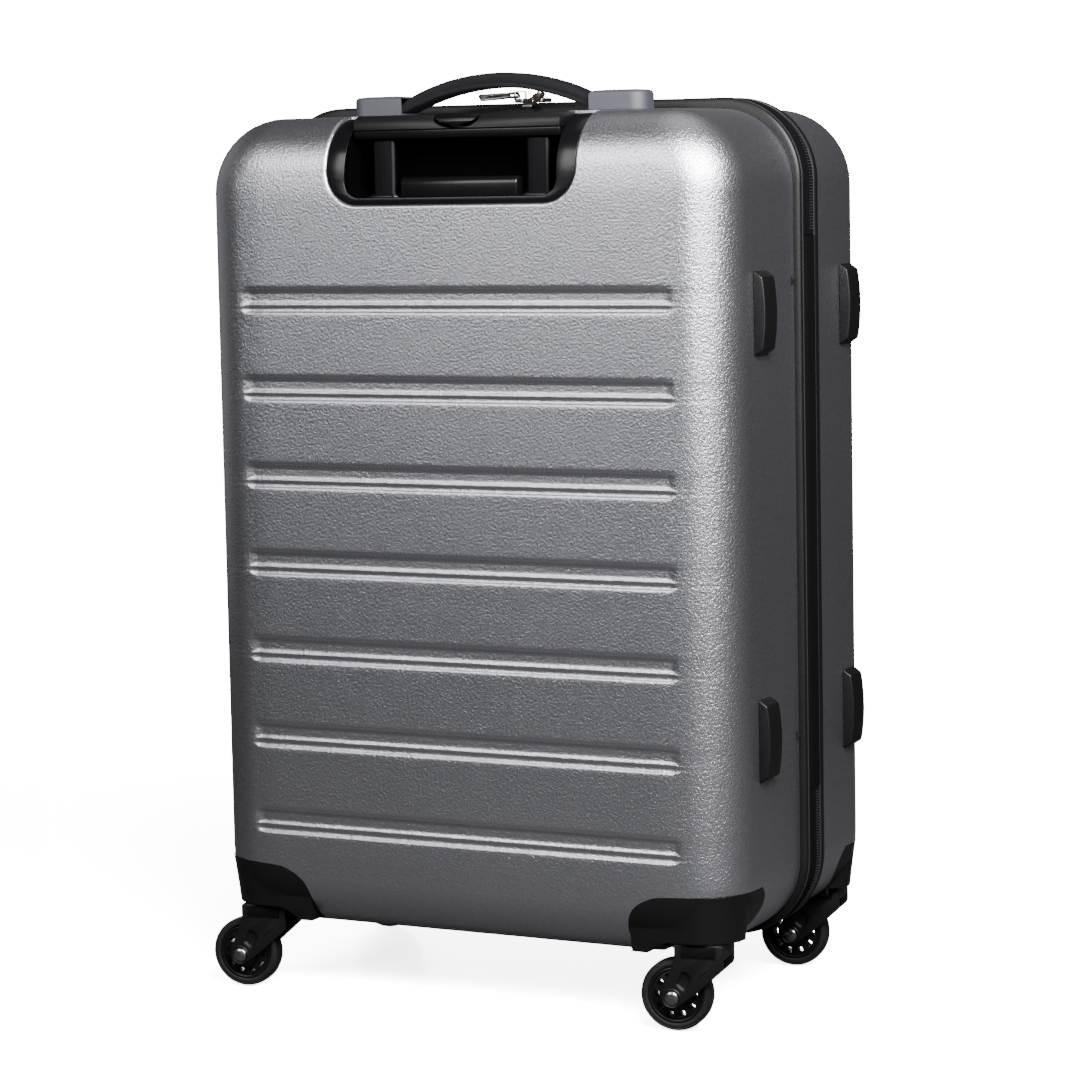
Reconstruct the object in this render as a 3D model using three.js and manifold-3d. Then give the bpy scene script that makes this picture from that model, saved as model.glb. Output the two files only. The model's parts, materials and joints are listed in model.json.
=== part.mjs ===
// A hard-shell suitcase on four swivelling wheels, with a telescopic pull handle.
// Millimetres, +Z up. The pull handle is on the -Y face, the hinge side and its feet are on +X,
// and the case opens like a book about two upright hinge lines on +X.
import * as THREE from "three";
import { mergeVertices } from "three/addons/utils/BufferGeometryUtils.js";
import Module from "manifold-3d";

const wasm = await Module();
wasm.setup();

// Driving dimensions
const HALF_WIDTH = 212;
const HALF_DEPTH = 134;
const CASE_BOTTOM = 52;
const CASE_TOP = 648;
const CORNER_RADIUS = 55; // seen from the front
const EDGE_RADIUS = 38; // where a face turns into the sides
const WALL = 3;
const GAP = 0.3; // between pieces that touch
const FAR = 400; // beyond the case, for cutting tools

const REAR_RIM_Y = -10;
const FRONT_RIM_Y = 27;
const ZIP_LINE_Y = 12;
const ZIP_HALF_GAP = 0.6;
const BAND_HALF_WIDTH = 217;
const BAND_BOTTOM = 47.5;
const BAND_TOP = 656.5;
const BAND_BEVEL = 4.5;
const HINGE_LOW = 157.5;
const HINGE_HIGH = 557.5;

const LINING_OUTER = 3.6; // inset from the outside of the case
const LINING_INNER = 5;
const RIDGE_HALF_WIDTH = 104; // raised part of the lining over the pull handle's tubes
const RIDGE_Y = -88;
const WELL_X = 127; // lined boxes over the casters
const WELL_Y = 76;
const WELL_TOP = 104;

const TRAY_HALF_WIDTH = 99.7;
const TRAY_BOTTOM = 584.3;
const TRAY_BACK_Y = -90.3;
const TRAY_RADIUS = 25;
const TRAY_INNER_HALF = 85;
const TRAY_FLOOR = 589.3;
const TRAY_INNER_RADIUS = 12;
const TRAY_WALL = 3;

const TUBE_X = 62;
const TUBE_Y = -110;
const TUBE_WALL = 1.2;
const OUTER_TUBE = { halfX: 13, halfY: 9, low: 84.5, high: 583.9 };
const MIDDLE_TUBE = { halfX: 11.4, halfY: 7.4, low: 88, high: 592 };
const INNER_TUBE = { halfX: 9.8, halfY: 5.8, low: 92, high: 629.7 };

const GRIP = { halfX: 82.5, front: -120, back: -94.3, low: 630, split: 637.2, high: 647.7 };
const BUTTON_HALF_WIDTH = 18;
const BUTTON_HEIGHT = 7.4;
const BUTTON_RECESS = 7.6;
const BUTTON_TRAVEL = 2.6;
const ROD_RADIUS = 2;
const ROD_BOTTOM = 140;

const HANDLE_HALF = 119; // half the length of a carry handle over its end caps
const CAP_LENGTH = 42.5;
const CAP_WIDTH = 28;
const CAP_HEIGHT = 14.7;
const STRAP_WIDTH = 24;
const HANDLE_Y = -47;
const TOP_ARCH = 29.5; // height of each strap's crown over the case
const SIDE_ARCH = 26.7;
const CASE_MIDDLE = (CASE_BOTTOM + CASE_TOP) / 2;

const FOOT_OUT = 9;
const FOOT_HALF_LENGTH = 30;
const FOOT_CHAMFER = 5;
const FOOT_HALF_WIDTH = 11;
const FOOT_Z = [505, 204.5];
const FOOT_Y = { rear: -73, front: 85 };

const CASTER_X = 178;
const CASTER_Y = 108;
const CASTER_YAW = THREE.MathUtils.degToRad(8.6);
const WHEEL_RADIUS = 26;
const TYRE_HALF_WIDTH = 7.5;
const TRAIL = 19;
const NECK = { back: -17, front: 18.5, halfWidth: 16.5, low: 53.6, high: 65.1, radius: 24.2 };
const HOUSING_INNER_X = 131;
const HOUSING_FLOOR = 65.5;
const HOUSING_HOLLOW = 70;
const SWIVEL_ROOM = 25.4; // radius kept clear around each swivel axis, below the housing's floor
const KINGPIN_RADIUS = 5;

const SLIDER_Y = 10;
const PULL_LENGTH = 30;
const SLIDERS = [
  { name: "left", x: -13, yaw: -50, droop: 10 },
  { name: "right", x: 3, yaw: 6, droop: 18 },
];

// The side handle stands further out than the feet, so the case sits a little off the middle.
const CASE_SHIFT = (GAP + SIDE_ARCH - FOOT_OUT) / 2;

// Materials
const finish = (color, roughness, metalness) =>
  new THREE.MeshStandardMaterial({ color, roughness, metalness });
const shellGrey = finish(0x8b8b90, 0.38, 0.1);
const blackPlastic = finish(0x141416, 0.45, 0);
const blackFabric = finish(0x101012, 0.9, 0);
const liningFabric = finish(0x4a4b50, 0.95, 0);
const capGrey = finish(0x50505c, 0.7, 0);
const aluminium = finish(0xa8a9ad, 0.35, 0.9);
const nickel = finish(0xb9b4aa, 0.3, 0.95);
const steel = finish(0x8d8a86, 0.3, 0.95);
const softTyre = finish(0x161616, 0.7, 0);
const hubPlastic = finish(0x0d0d0e, 0.4, 0);

// Solids
function toSolid(geometry) {
  const bare = geometry.index ? geometry.toNonIndexed() : geometry.clone();
  bare.deleteAttribute("normal");
  bare.deleteAttribute("uv");
  const merged = mergeVertices(bare, 1e-4);
  return new wasm.Manifold(
    new wasm.Mesh({
      numProp: 3,
      vertProperties: merged.attributes.position.array,
      triVerts: new Uint32Array(merged.index.array),
    }),
  );
}

function toGeometry(solid) {
  const result = solid.getMesh();
  const geometry = new THREE.BufferGeometry();
  const positions = Float32Array.from(result.vertProperties);
  geometry.setAttribute("position", new THREE.BufferAttribute(positions, 3));
  geometry.setIndex(new THREE.BufferAttribute(Uint32Array.from(result.triVerts), 1));
  return geometry;
}

function piece(name, solid, material) {
  const mesh = new THREE.Mesh(toGeometry(solid), material);
  mesh.name = name;
  return mesh;
}

function outline(points) {
  return new THREE.Shape(points.map(([a, b]) => new THREE.Vector2(a, b)));
}

function roundedRect(x0, x1, y0, y1, radius) {
  const shape = new THREE.Shape();
  const quarter = Math.PI / 2;
  shape.absarc(x1 - radius, y0 + radius, radius, -quarter, 0);
  shape.absarc(x1 - radius, y1 - radius, radius, 0, quarter);
  shape.absarc(x0 + radius, y1 - radius, radius, quarter, 2 * quarter);
  shape.absarc(x0 + radius, y0 + radius, radius, 2 * quarter, 3 * quarter);
  shape.closePath();
  return shape;
}

// A U that is open at the top, with round bottom corners.
function uShape(halfWidth, bottom, radius) {
  const shape = new THREE.Shape();
  shape.moveTo(halfWidth, FAR * 2);
  shape.lineTo(-halfWidth, FAR * 2);
  shape.absarc(-halfWidth + radius, bottom + radius, radius, Math.PI, 1.5 * Math.PI);
  shape.absarc(halfWidth - radius, bottom + radius, radius, 1.5 * Math.PI, 2 * Math.PI);
  shape.closePath();
  return shape;
}

const prism = (shape, depth, curveSegments = 5) =>
  new THREE.ExtrudeGeometry(shape, { depth, bevelEnabled: false, curveSegments });

// The three ways to extrude: a shape drawn in (x, y) along Z, in (x, z) along Y, in (y, z) along X.
function alongZ(shape, z0, z1, segments) {
  return toSolid(prism(shape, z1 - z0, segments).translate(0, 0, z0));
}

function alongY(shape, y0, y1, segments) {
  return toSolid(prism(shape, y1 - y0, segments).rotateX(Math.PI / 2).translate(0, y1, 0));
}

function alongX(shape, x0, x1, segments) {
  const turn = new THREE.Matrix4().makeBasis(
    new THREE.Vector3(0, 1, 0),
    new THREE.Vector3(0, 0, 1),
    new THREE.Vector3(1, 0, 0),
  );
  return toSolid(prism(shape, x1 - x0, segments).applyMatrix4(turn).translate(x0, 0, 0));
}

function block(x0, x1, y0, y1, z0, z1) {
  const box = new THREE.BoxGeometry(x1 - x0, y1 - y0, z1 - z0);
  return toSolid(box.translate((x0 + x1) / 2, (y0 + y1) / 2, (z0 + z1) / 2));
}

function post(x, y, radius, z0, z1, sides = 12) {
  const cylinder = new THREE.CylinderGeometry(radius, radius, z1 - z0, sides);
  return toSolid(cylinder.rotateX(Math.PI / 2).translate(x, y, (z0 + z1) / 2));
}

// The whole case as a rounded slab, inset from its outside.
function slab(inset) {
  const edge = EDGE_RADIUS - inset;
  const half = HALF_WIDTH - inset;
  const face = roundedRect(-half, half, CASE_BOTTOM + inset, CASE_TOP - inset, CORNER_RADIUS - inset);
  const depth = 2 * (HALF_DEPTH - EDGE_RADIUS);
  const geometry = new THREE.ExtrudeGeometry(face, {
    depth,
    bevelThickness: edge,
    bevelSize: edge,
    bevelOffset: -edge,
    bevelSegments: 4,
    curveSegments: 4,
  });
  return toSolid(geometry.rotateX(Math.PI / 2).translate(0, depth / 2, 0));
}

const rearHalf = (limit) => block(-FAR, FAR, -FAR, limit, -FAR, 2 * FAR);
const frontHalf = (limit) => block(-FAR, FAR, limit, FAR, -FAR, 2 * FAR);

// Mirror a list of [x, y] points left to right, keeping them anticlockwise.
const mirrored = (points) => points.map(([a, b]) => [-a, b]).reverse();

// Caster housings: black boots over the four bottom corners
function bootRegion(sideX, sideY, grow) {
  const faceLine = [
    [127, 46],
    [129.5, 58],
    [129.3, 70],
    [130.5, 78],
    [133.5, 86],
    [139, 91.5],
    [147, 95.8],
    [157, 98.4],
    [190, 99.7],
    [230, 100],
  ].map(([x, z]) => [x - grow, z + grow]);
  const sideLine = [
    [-150, 100.5],
    [-86, 100.5],
    [-77, 98],
    [-71.5, 92],
    [-70, 84],
    [-73, 76],
    [-79, 68],
    [-84, 57],
    [-87, 46],
  ].map(([y, z]) => [y + grow, z + grow]);
  const facePoints = [...faceLine.reverse(), [127 - grow, 30], [230, 30]];
  const sidePoints = [[-150, 30], [-87 + grow, 30], ...sideLine.reverse()];
  const face = outline(sideX > 0 ? facePoints : mirrored(facePoints));
  const side = outline(sideY < 0 ? sidePoints : mirrored(sidePoints));
  return alongY(face, -FAR, FAR).intersect(alongX(side, -FAR, FAR));
}

// A block with a round outer corner that gets narrower towards the floor.
function taperedBlock() {
  const shape = new THREE.Shape();
  shape.moveTo(HOUSING_INNER_X, -79);
  shape.lineTo(HOUSING_INNER_X, -131.5);
  shape.absarc(176.5, -97.5, 34, -Math.PI / 2, 0);
  shape.lineTo(210.5, -79);
  shape.closePath();
  const geometry = prism(shape, 45, 6).translate(0, 0, 57);
  const at = geometry.attributes.position;
  for (let i = 0; i < at.count; i++) {
    if (at.getZ(i) > 80) continue;
    if (at.getX(i) > 150) at.setX(i, at.getX(i) - (6 * (at.getX(i) - 150)) / 60);
    if (at.getY(i) < -80) at.setY(i, at.getY(i) - (5 * (at.getY(i) + 80)) / 52);
  }
  return toSolid(geometry);
}

// The opening over a caster, which arches down to the case's bottom on its inner side.
function casterRoom() {
  const arch = [
    [36, 50],
    [34.5, 57.5],
    [31, 60.8],
    [26, 63.4],
    [20, HOUSING_FLOOR],
  ].map(([inward, z]) => [CASTER_X - inward, z]);
  const shape = outline([[CASTER_X - 36, 0], [FAR, 0], [FAR, HOUSING_FLOOR], ...arch.reverse()]);
  return alongY(shape, -FAR, -CASTER_Y + 25);
}

// The round space in which a fork's neck turns.
function swivelRoom(sideX, sideY) {
  return post(CASTER_X * sideX, CASTER_Y * sideY, SWIVEL_ROOM, 40, HOUSING_FLOOR, 48);
}

function housing(sideX, sideY) {
  const place = new THREE.Matrix4().makeScale(sideX, -sideY, 1);
  const corner = taperedBlock().transform(place.toArray());
  const skin = slab(0).subtract(slab(WALL));
  const cornerBox = (x0, x1, y0, y1, z0, z1) =>
    block(...[x0 * sideX, x1 * sideX].sort((a, b) => a - b),
      ...[y0 * sideY, y1 * sideY].sort((a, b) => a - b), z0, z1);
  const hollow = cornerBox(136, 193, 83, 119, HOUSING_HOLLOW, 90);
  const chimney = cornerBox(158, 190, 86, 116, 89, 120);
  const pinHole = post(CASTER_X * sideX, CASTER_Y * sideY, KINGPIN_RADIUS + 0.6, 60, 85);
  return corner
    .add(skin)
    .intersect(bootRegion(sideX, sideY, 0))
    .subtract(casterRoom().transform(place.toArray()))
    .subtract(swivelRoom(sideX, sideY))
    .subtract(hollow)
    .subtract(chimney)
    .subtract(pinHole);
}

// Shells, linings and zip bands
function shellSkin() {
  let skin = slab(0).subtract(slab(WALL));
  for (const sideX of [-1, 1])
    for (const sideY of [-1, 1])
      skin = skin
        .subtract(bootRegion(sideX, sideY, GAP))
        .subtract(swivelRoom(sideX, sideY));
  return skin;
}

function rearShell(skin) {
  const notch = uShape(TRAY_HALF_WIDTH + GAP, TRAY_BOTTOM - GAP, TRAY_RADIUS + GAP);
  return skin
    .intersect(rearHalf(REAR_RIM_Y))
    .subtract(alongY(notch, -FAR, TRAY_BACK_Y + GAP));
}

// The room inside, inset from the outside: over the tubes and casters it keeps clear of them.
function room(inset) {
  const grow = inset - LINING_OUTER;
  const ridge = RIDGE_HALF_WIDTH + grow;
  let space = slab(inset).subtract(block(-ridge, ridge, -FAR, RIDGE_Y + grow, 0, 2 * FAR));
  const nearX = WELL_X - grow;
  const nearY = WELL_Y - grow;
  const top = WELL_TOP + grow;
  for (const [x0, x1] of [[-FAR, -nearX], [nearX, FAR]])
    for (const [y0, y1] of [[-FAR, -nearY], [nearY, FAR]])
      space = space.subtract(block(x0, x1, y0, y1, 0, top));
  return space;
}

function linings() {
  const skin = room(LINING_OUTER).subtract(room(LINING_INNER));
  return [
    skin.intersect(rearHalf(REAR_RIM_Y - GAP)),
    skin.intersect(frontHalf(FRONT_RIM_Y + GAP)),
  ];
}

function zipBands() {
  const outer = roundedRect(-BAND_HALF_WIDTH, BAND_HALF_WIDTH, BAND_BOTTOM, BAND_TOP, 61);
  const bevelDepth = 3;
  const depth = FRONT_RIM_Y - REAR_RIM_Y - 2 * GAP;
  const belt = new THREE.ExtrudeGeometry(outer, {
    depth: depth - 2 * bevelDepth,
    bevelThickness: bevelDepth,
    bevelSize: BAND_BEVEL,
    bevelOffset: -BAND_BEVEL,
    bevelSegments: 1,
    curveSegments: 5,
  });
  belt.rotateX(Math.PI / 2).translate(0, FRONT_RIM_Y - GAP - bevelDepth, 0);
  const half = HALF_WIDTH - LINING_INNER;
  const inside = roundedRect(-half, half, CASE_BOTTOM + LINING_INNER, CASE_TOP - LINING_INNER, 50);
  const ring = toSolid(belt)
    .subtract(alongY(inside, -FAR, FAR, 4))
    .subtract(block(195, FAR, -FAR, FAR, HINGE_LOW, HINGE_HIGH));
  return [
    ring.intersect(rearHalf(ZIP_LINE_Y - ZIP_HALF_GAP)),
    ring.intersect(frontHalf(ZIP_LINE_Y + ZIP_HALF_GAP)),
  ];
}

function hingeStrip() {
  const section = outline([
    [209.2, REAR_RIM_Y + GAP],
    [212.4, REAR_RIM_Y + GAP],
    [216.9, -6],
    [216.9, 23],
    [212.4, FRONT_RIM_Y - GAP],
    [209.2, FRONT_RIM_Y - GAP],
  ]);
  return alongZ(section, HINGE_LOW + GAP, HINGE_HIGH - GAP);
}

// Pull handle
const tubeOutline = (stage, inset) =>
  roundedRect(
    -stage.halfX + inset,
    stage.halfX - inset,
    -stage.halfY + inset,
    stage.halfY - inset,
    4 - inset,
  );

function tube(stage) {
  const outside = alongZ(tubeOutline(stage, 0), stage.low, stage.high, 3);
  return outside.subtract(alongZ(tubeOutline(stage, TUBE_WALL), 0, 2 * FAR, 3));
}

function trolleyTray() {
  const outer = alongY(uShape(TRAY_HALF_WIDTH, TRAY_BOTTOM, TRAY_RADIUS), -FAR, TRAY_BACK_Y);
  const inner = alongY(
    uShape(TRAY_INNER_HALF, TRAY_FLOOR, TRAY_INNER_RADIUS),
    -FAR,
    TRAY_BACK_Y - TRAY_WALL,
  );
  let tray = outer
    .intersect(slab(0))
    .subtract(inner)
    .add(block(-47, 47, -118, TRAY_BACK_Y - 1, TRAY_FLOOR - 1, 603.5));
  for (const side of [-1, 1]) {
    const hole = alongZ(tubeOutline(MIDDLE_TUBE, -0.5), 550, 610, 3);
    tray = tray.subtract(hole.translate([side * TUBE_X, TUBE_Y, 0]));
  }
  return tray;
}

function footBracket() {
  const section = roundedRect(-119, -100.5, 73, OUTER_TUBE.low - GAP, 3);
  return alongX(section, -82, 82, 2);
}

const gripSection = (low, high, topRadius, bottomRadius) => {
  const shape = new THREE.Shape();
  const quarter = Math.PI / 2;
  const { front, back } = GRIP;
  shape.moveTo(back, low);
  shape.lineTo(back, high);
  shape.absarc(front + topRadius, high - topRadius, topRadius, quarter, 2 * quarter);
  shape.absarc(front + bottomRadius, low + bottomRadius, bottomRadius, 2 * quarter, 3 * quarter);
  shape.closePath();
  return shape;
};

function halfEllipse(halfWidth, height, top) {
  const points = [];
  const steps = 10;
  for (let i = 0; i <= steps; i++) {
    const angle = Math.PI + (Math.PI * i) / steps;
    points.push([halfWidth * Math.cos(angle), top + height * Math.sin(angle)]);
  }
  return outline([...points, [halfWidth, top + 4], [-halfWidth, top + 4]]);
}

function gripUpper() {
  const section = gripSection(GRIP.split + 0.1, GRIP.high, 8, 0.5);
  const mouth = GRIP.high - BUTTON_TRAVEL;
  const recess = halfEllipse(BUTTON_HALF_WIDTH + 0.4, BUTTON_RECESS, mouth);
  return alongX(section, -GRIP.halfX, GRIP.halfX, 3)
    .subtract(alongY(recess, -130, -101))
    .subtract(block(-10, 10, -114, -102, 630, 640))
    .subtract(block(-68.5, -40, -113.5, -102.5, 630, 641))
    .subtract(block(40, 68.5, -113.5, -102.5, 630, 641));
}

function gripLower() {
  const section = gripSection(GRIP.low, GRIP.split - 0.1, 0.5, 4);
  let lower = alongX(section, -GRIP.halfX, GRIP.halfX, 3)
    .subtract(block(-68.5, 68.5, -113.5, -102.5, 631.1, 645));
  for (const side of [-1, 1])
    lower = lower.subtract(post(side * TUBE_X, TUBE_Y + 2, ROD_RADIUS + 0.5, 620, 635, 8));
  return lower;
}

function pushButton() {
  const face = halfEllipse(BUTTON_HALF_WIDTH, BUTTON_HEIGHT, GRIP.high);
  const rounded = alongX(gripSection(620, GRIP.high + 0.7, 8, 0.5), -30, 30, 3);
  return alongY(face, -119.6, -101.5)
    .intersect(rounded)
    .add(block(-8, 8, -112.5, -103.5, 636.2, 642));
}

// Carry handle, in a frame whose z = 0 is the case's surface and whose x runs along the handle
const CAP_INNER = HANDLE_HALF - CAP_LENGTH;

function handleCap(side) {
  const shape = new THREE.Shape();
  const halfWidth = CAP_WIDTH / 2;
  shape.moveTo(CAP_INNER, halfWidth);
  shape.lineTo(CAP_INNER, -halfWidth);
  shape.absarc(HANDLE_HALF - 11, -halfWidth + 11, 11, -Math.PI / 2, 0);
  shape.absarc(HANDLE_HALF - 11, halfWidth - 11, 11, 0, Math.PI / 2);
  shape.closePath();
  const body = alongZ(shape, 0, CAP_HEIGHT, 4);
  const mouth = block(CAP_INNER - 2, HANDLE_HALF - 7, -12.6, 12.6, 1.6, CAP_HEIGHT - 1.6);
  const cap = body.subtract(mouth);
  return side > 0 ? cap : cap.rotate([0, 0, 180]);
}

function handleStrap(arch) {
  const steps = 12;
  const end = CAP_INNER - 0.5;
  const crown = [];
  const belly = [];
  for (let i = 0; i <= steps; i++) {
    const t = -1 + (2 * i) / steps;
    const swell = 1 - t * t;
    crown.push([t * end, 12 + (arch - 12) * swell]);
    belly.push([t * end, 2 + (arch - 10.5) * swell]);
  }
  const tongue = HANDLE_HALF - 12;
  const shape = outline([
    ...belly,
    [tongue, 2],
    [tongue, 5.6],
    [end, 5.6],
    ...crown.reverse(),
    [-end, 5.6],
    [-tongue, 5.6],
    [-tongue, 2],
  ]);
  return alongY(shape, -STRAP_WIDTH / 2, STRAP_WIDTH / 2);
}

function carryHandle(prefix, endNames, arch) {
  const group = new THREE.Group();
  group.add(piece(prefix + "_cap_" + endNames[0], handleCap(-1), capGrey));
  group.add(piece(prefix + "_cap_" + endNames[1], handleCap(1), capGrey));
  group.add(piece(prefix + "_strap", handleStrap(arch), blackFabric));
  return group;
}

// Zip sliders and their pulls: each pull has a cross bar that turns under its slider's bridge
const SLIDER_BASE = BAND_TOP + GAP;
const PULL_AXIS = { back: -2.5, up: 6 };

function sliderBody(yaw) {
  const base = alongX(roundedRect(-6, 7.5, SLIDER_BASE, SLIDER_BASE + 3.2, 1.2), -5.5, 5.5, 1);
  const bridge = block(-1.3, 1.3, -6, 3.6, SLIDER_BASE + 2, SLIDER_BASE + 9.2);
  const loop = block(-FAR, FAR, -4.8, 2.4, SLIDER_BASE + 3.2, SLIDER_BASE + 8);
  const turn = THREE.MathUtils.radToDeg(yaw);
  return base.add(bridge.subtract(loop).rotate([0, 0, turn]));
}

function sliderPull() {
  const plate = alongZ(roundedRect(-4.5, 4.5, -PULL_LENGTH, 0.9, 1.5), -0.9, 0.9, 1);
  const slot = alongZ(roundedRect(-1.8, 1.8, -23, -13, 1.2), -3, 3, 1);
  const eye = alongZ(roundedRect(-3, 3, -6.8, -0.9, 0.6), -3, 3, 1);
  return plate.subtract(slot).subtract(eye);
}

// Caster, in a frame whose z axis is its swivel axis, with the floor at z = 0, trailing to -x
function lathe(profile, sides) {
  const points = profile.map(([r, h]) => new THREE.Vector2(r, h));
  return toSolid(new THREE.LatheGeometry(points, sides));
}

function forkSolid() {
  const armEnd = 7.5;
  const armTop = NECK.low + 1;
  const side = outline([
    [NECK.back, armTop],
    [-22.5, 40],
    [-27, 30],
    [-TRAIL - armEnd, 26],
    [-TRAIL - 5.3, 20.7],
    [-TRAIL, 26 - armEnd],
    [-TRAIL + 5.3, 20.7],
    [2.5, 33.5],
    [NECK.front, 48],
    [NECK.front, armTop],
  ]);
  const neckRound = post(0, 0, NECK.radius, NECK.low, NECK.high, 24);
  const { halfWidth } = NECK;
  const neckBlock = block(NECK.back, NECK.front, -halfWidth, halfWidth, NECK.low, NECK.high);
  const neck = neckBlock.intersect(neckRound);
  const axleHole = new THREE.CylinderGeometry(3.3, 3.3, 60, 12).translate(-TRAIL, 0, WHEEL_RADIUS);
  return neck
    .add(alongY(side, -halfWidth, -halfWidth + 3.7))
    .add(alongY(side, halfWidth - 3.7, halfWidth))
    .add(post(0, 0, KINGPIN_RADIUS, NECK.high - 1, 82))
    .subtract(toSolid(axleHole));
}

function caster(name, x, y) {
  const group = new THREE.Group();
  group.position.set(x, y, 0);
  group.rotation.z = CASTER_YAW;
  const w = TYRE_HALF_WIDTH;
  const r = WHEEL_RADIUS;
  const tyre = lathe(
    [
      [20, -w],
      [r - 1.8, -w],
      [r - 0.4, -w + 1.4],
      [r, -w + 3],
      [r, w - 3],
      [r - 0.4, w - 1.4],
      [r - 1.8, w],
      [20, w],
      [20, -w],
    ],
    18,
  );
  const hub = lathe(
    [
      [3.3, -12.4],
      [7, -12.4],
      [9.5, -5],
      [19.6, -6],
      [19.6, 6],
      [9.5, 5],
      [7, 12.4],
      [3.3, 12.4],
      [3.3, -12.4],
    ],
    18,
  );
  const axle = lathe(
    [
      [0, -19],
      [3.4, -18.4],
      [5.2, -16.8],
      [3, -16.8],
      [3, 16.8],
      [5.2, 16.8],
      [3.4, 18.4],
      [0, 19],
    ],
    12,
  );
  const wheel = new THREE.Group();
  wheel.position.set(-TRAIL, 0, WHEEL_RADIUS);
  wheel.add(piece(name + "_tyre", tyre, softTyre));
  wheel.add(piece(name + "_hub", hub, hubPlastic));
  wheel.add(piece(name + "_axle", axle, steel));
  group.add(wheel);
  group.add(piece(name + "_fork", forkSolid(), blackPlastic));
  return group;
}

// Assembly
const suitcase = new THREE.Group();
suitcase.position.x = CASE_SHIFT;

const skin = shellSkin();
const [rearLining, frontLining] = linings();
const [rearBand, frontBand] = zipBands();
suitcase.add(piece("rear_shell", rearShell(skin), shellGrey));
suitcase.add(piece("front_shell", skin.intersect(frontHalf(FRONT_RIM_Y)), shellGrey));
suitcase.add(piece("rear_lining", rearLining, liningFabric));
suitcase.add(piece("front_lining", frontLining, liningFabric));
suitcase.add(piece("zip_band_rear", rearBand, blackFabric));
suitcase.add(piece("zip_band_front", frontBand, blackFabric));
suitcase.add(piece("hinge_strip", hingeStrip(), blackFabric));

suitcase.add(piece("trolley_tray", trolleyTray(), blackPlastic));
suitcase.add(piece("trolley_foot_bracket", footBracket(), blackPlastic));
for (const [side, name] of [[-1, "left"], [1, "right"]]) {
  for (const [stage, label] of [[OUTER_TUBE, "outer"], [MIDDLE_TUBE, "middle"], [INNER_TUBE, "inner"]]) {
    const mesh = piece(label + "_tube_" + name, tube(stage), aluminium);
    mesh.position.set(side * TUBE_X, TUBE_Y, 0);
    suitcase.add(mesh);
  }
  const rod = post(side * TUBE_X, TUBE_Y + 2, ROD_RADIUS, ROD_BOTTOM, 633.4, 8);
  suitcase.add(piece("release_rod_" + name, rod, steel));
}
suitcase.add(piece("grip_upper", gripUpper(), blackPlastic));
suitcase.add(piece("grip_lower", gripLower(), blackPlastic));
suitcase.add(piece("push_button", pushButton(), blackPlastic));
const yoke = alongX(roundedRect(-112.3, -103.7, 633.7, 635.9, 0.8), -67, 67, 2);
suitcase.add(piece("release_yoke", yoke, blackPlastic));

const topHandle = carryHandle("top_handle", ["left", "right"], TOP_ARCH);
topHandle.position.set(0, HANDLE_Y, CASE_TOP + GAP);
suitcase.add(topHandle);
const sideHandle = carryHandle("side_handle", ["lower", "upper"], SIDE_ARCH);
sideHandle.position.set(-HALF_WIDTH - GAP, HANDLE_Y, CASE_MIDDLE);
sideHandle.rotation.y = -Math.PI / 2;
suitcase.add(sideHandle);

const footSection = outline([
  [HALF_WIDTH + GAP, -FOOT_HALF_LENGTH],
  [HALF_WIDTH + FOOT_OUT, -FOOT_HALF_LENGTH + FOOT_CHAMFER],
  [HALF_WIDTH + FOOT_OUT, FOOT_HALF_LENGTH - FOOT_CHAMFER],
  [HALF_WIDTH + GAP, FOOT_HALF_LENGTH],
]);
const foot = alongY(footSection, -FOOT_HALF_WIDTH, FOOT_HALF_WIDTH);
for (const half of ["rear", "front"])
  for (const [level, name] of [[0, "upper"], [1, "lower"]]) {
    const mesh = piece("side_foot_" + half + "_" + name, foot, blackPlastic);
    mesh.position.set(0, FOOT_Y[half], FOOT_Z[level]);
    suitcase.add(mesh);
  }

const corners = [
  ["rear_left", -1, -1],
  ["rear_right", 1, -1],
  ["front_left", -1, 1],
  ["front_right", 1, 1],
];
for (const [name, sideX, sideY] of corners) {
  suitcase.add(piece("caster_housing_" + name, housing(sideX, sideY), blackPlastic));
  suitcase.add(caster("caster_" + name, sideX * CASTER_X, sideY * CASTER_Y));
}

for (const { name, x, yaw, droop } of SLIDERS) {
  const turn = THREE.MathUtils.degToRad(yaw);
  const slider = piece("zip_slider_" + name, sliderBody(turn), nickel);
  slider.position.set(x, SLIDER_Y, 0);
  const pull = piece("zip_pull_" + name, sliderPull(), nickel);
  const back = PULL_AXIS.back;
  pull.position.set(
    x - back * Math.sin(turn),
    SLIDER_Y + back * Math.cos(turn),
    SLIDER_BASE + PULL_AXIS.up,
  );
  pull.rotation.set(THREE.MathUtils.degToRad(droop), 0, turn, "ZXY");
  suitcase.add(slider, pull);
}

// Packing straps and pocket inside
function crossStrap(side) {
  const reach = HALF_WIDTH - LINING_INNER - 0.4;
  const tip = 20.4;
  const mid = CASE_MIDDLE + 12;
  const shape = outline([
    [tip, mid - 12.5],
    [reach, mid - 190],
    [reach, mid - 160],
    [60, mid],
    [reach, mid + 160],
    [reach, mid + 190],
    [tip, mid + 12.5],
  ]);
  const strap = alongY(shape, -16.6, -15);
  return side > 0 ? strap : strap.rotate([0, 0, 180]).translate([0, -31.6, 0]);
}
suitcase.add(piece("cross_strap_left", crossStrap(-1), blackFabric));
suitcase.add(piece("cross_strap_right", crossStrap(1), blackFabric));
const buckleFace = roundedRect(-20, 20, CASE_MIDDLE - 7, CASE_MIDDLE + 31, 6);
suitcase.add(piece("strap_buckle", alongY(buckleFace, -21, -11, 3), blackPlastic));
const pocketFace = roundedRect(-150, 150, 170, 540, 20);
suitcase.add(piece("mesh_pocket", alongY(pocketFace, 125, 128.6, 3), blackFabric));

const scene = new THREE.Group();
scene.add(suitcase);

export default scene;
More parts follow.
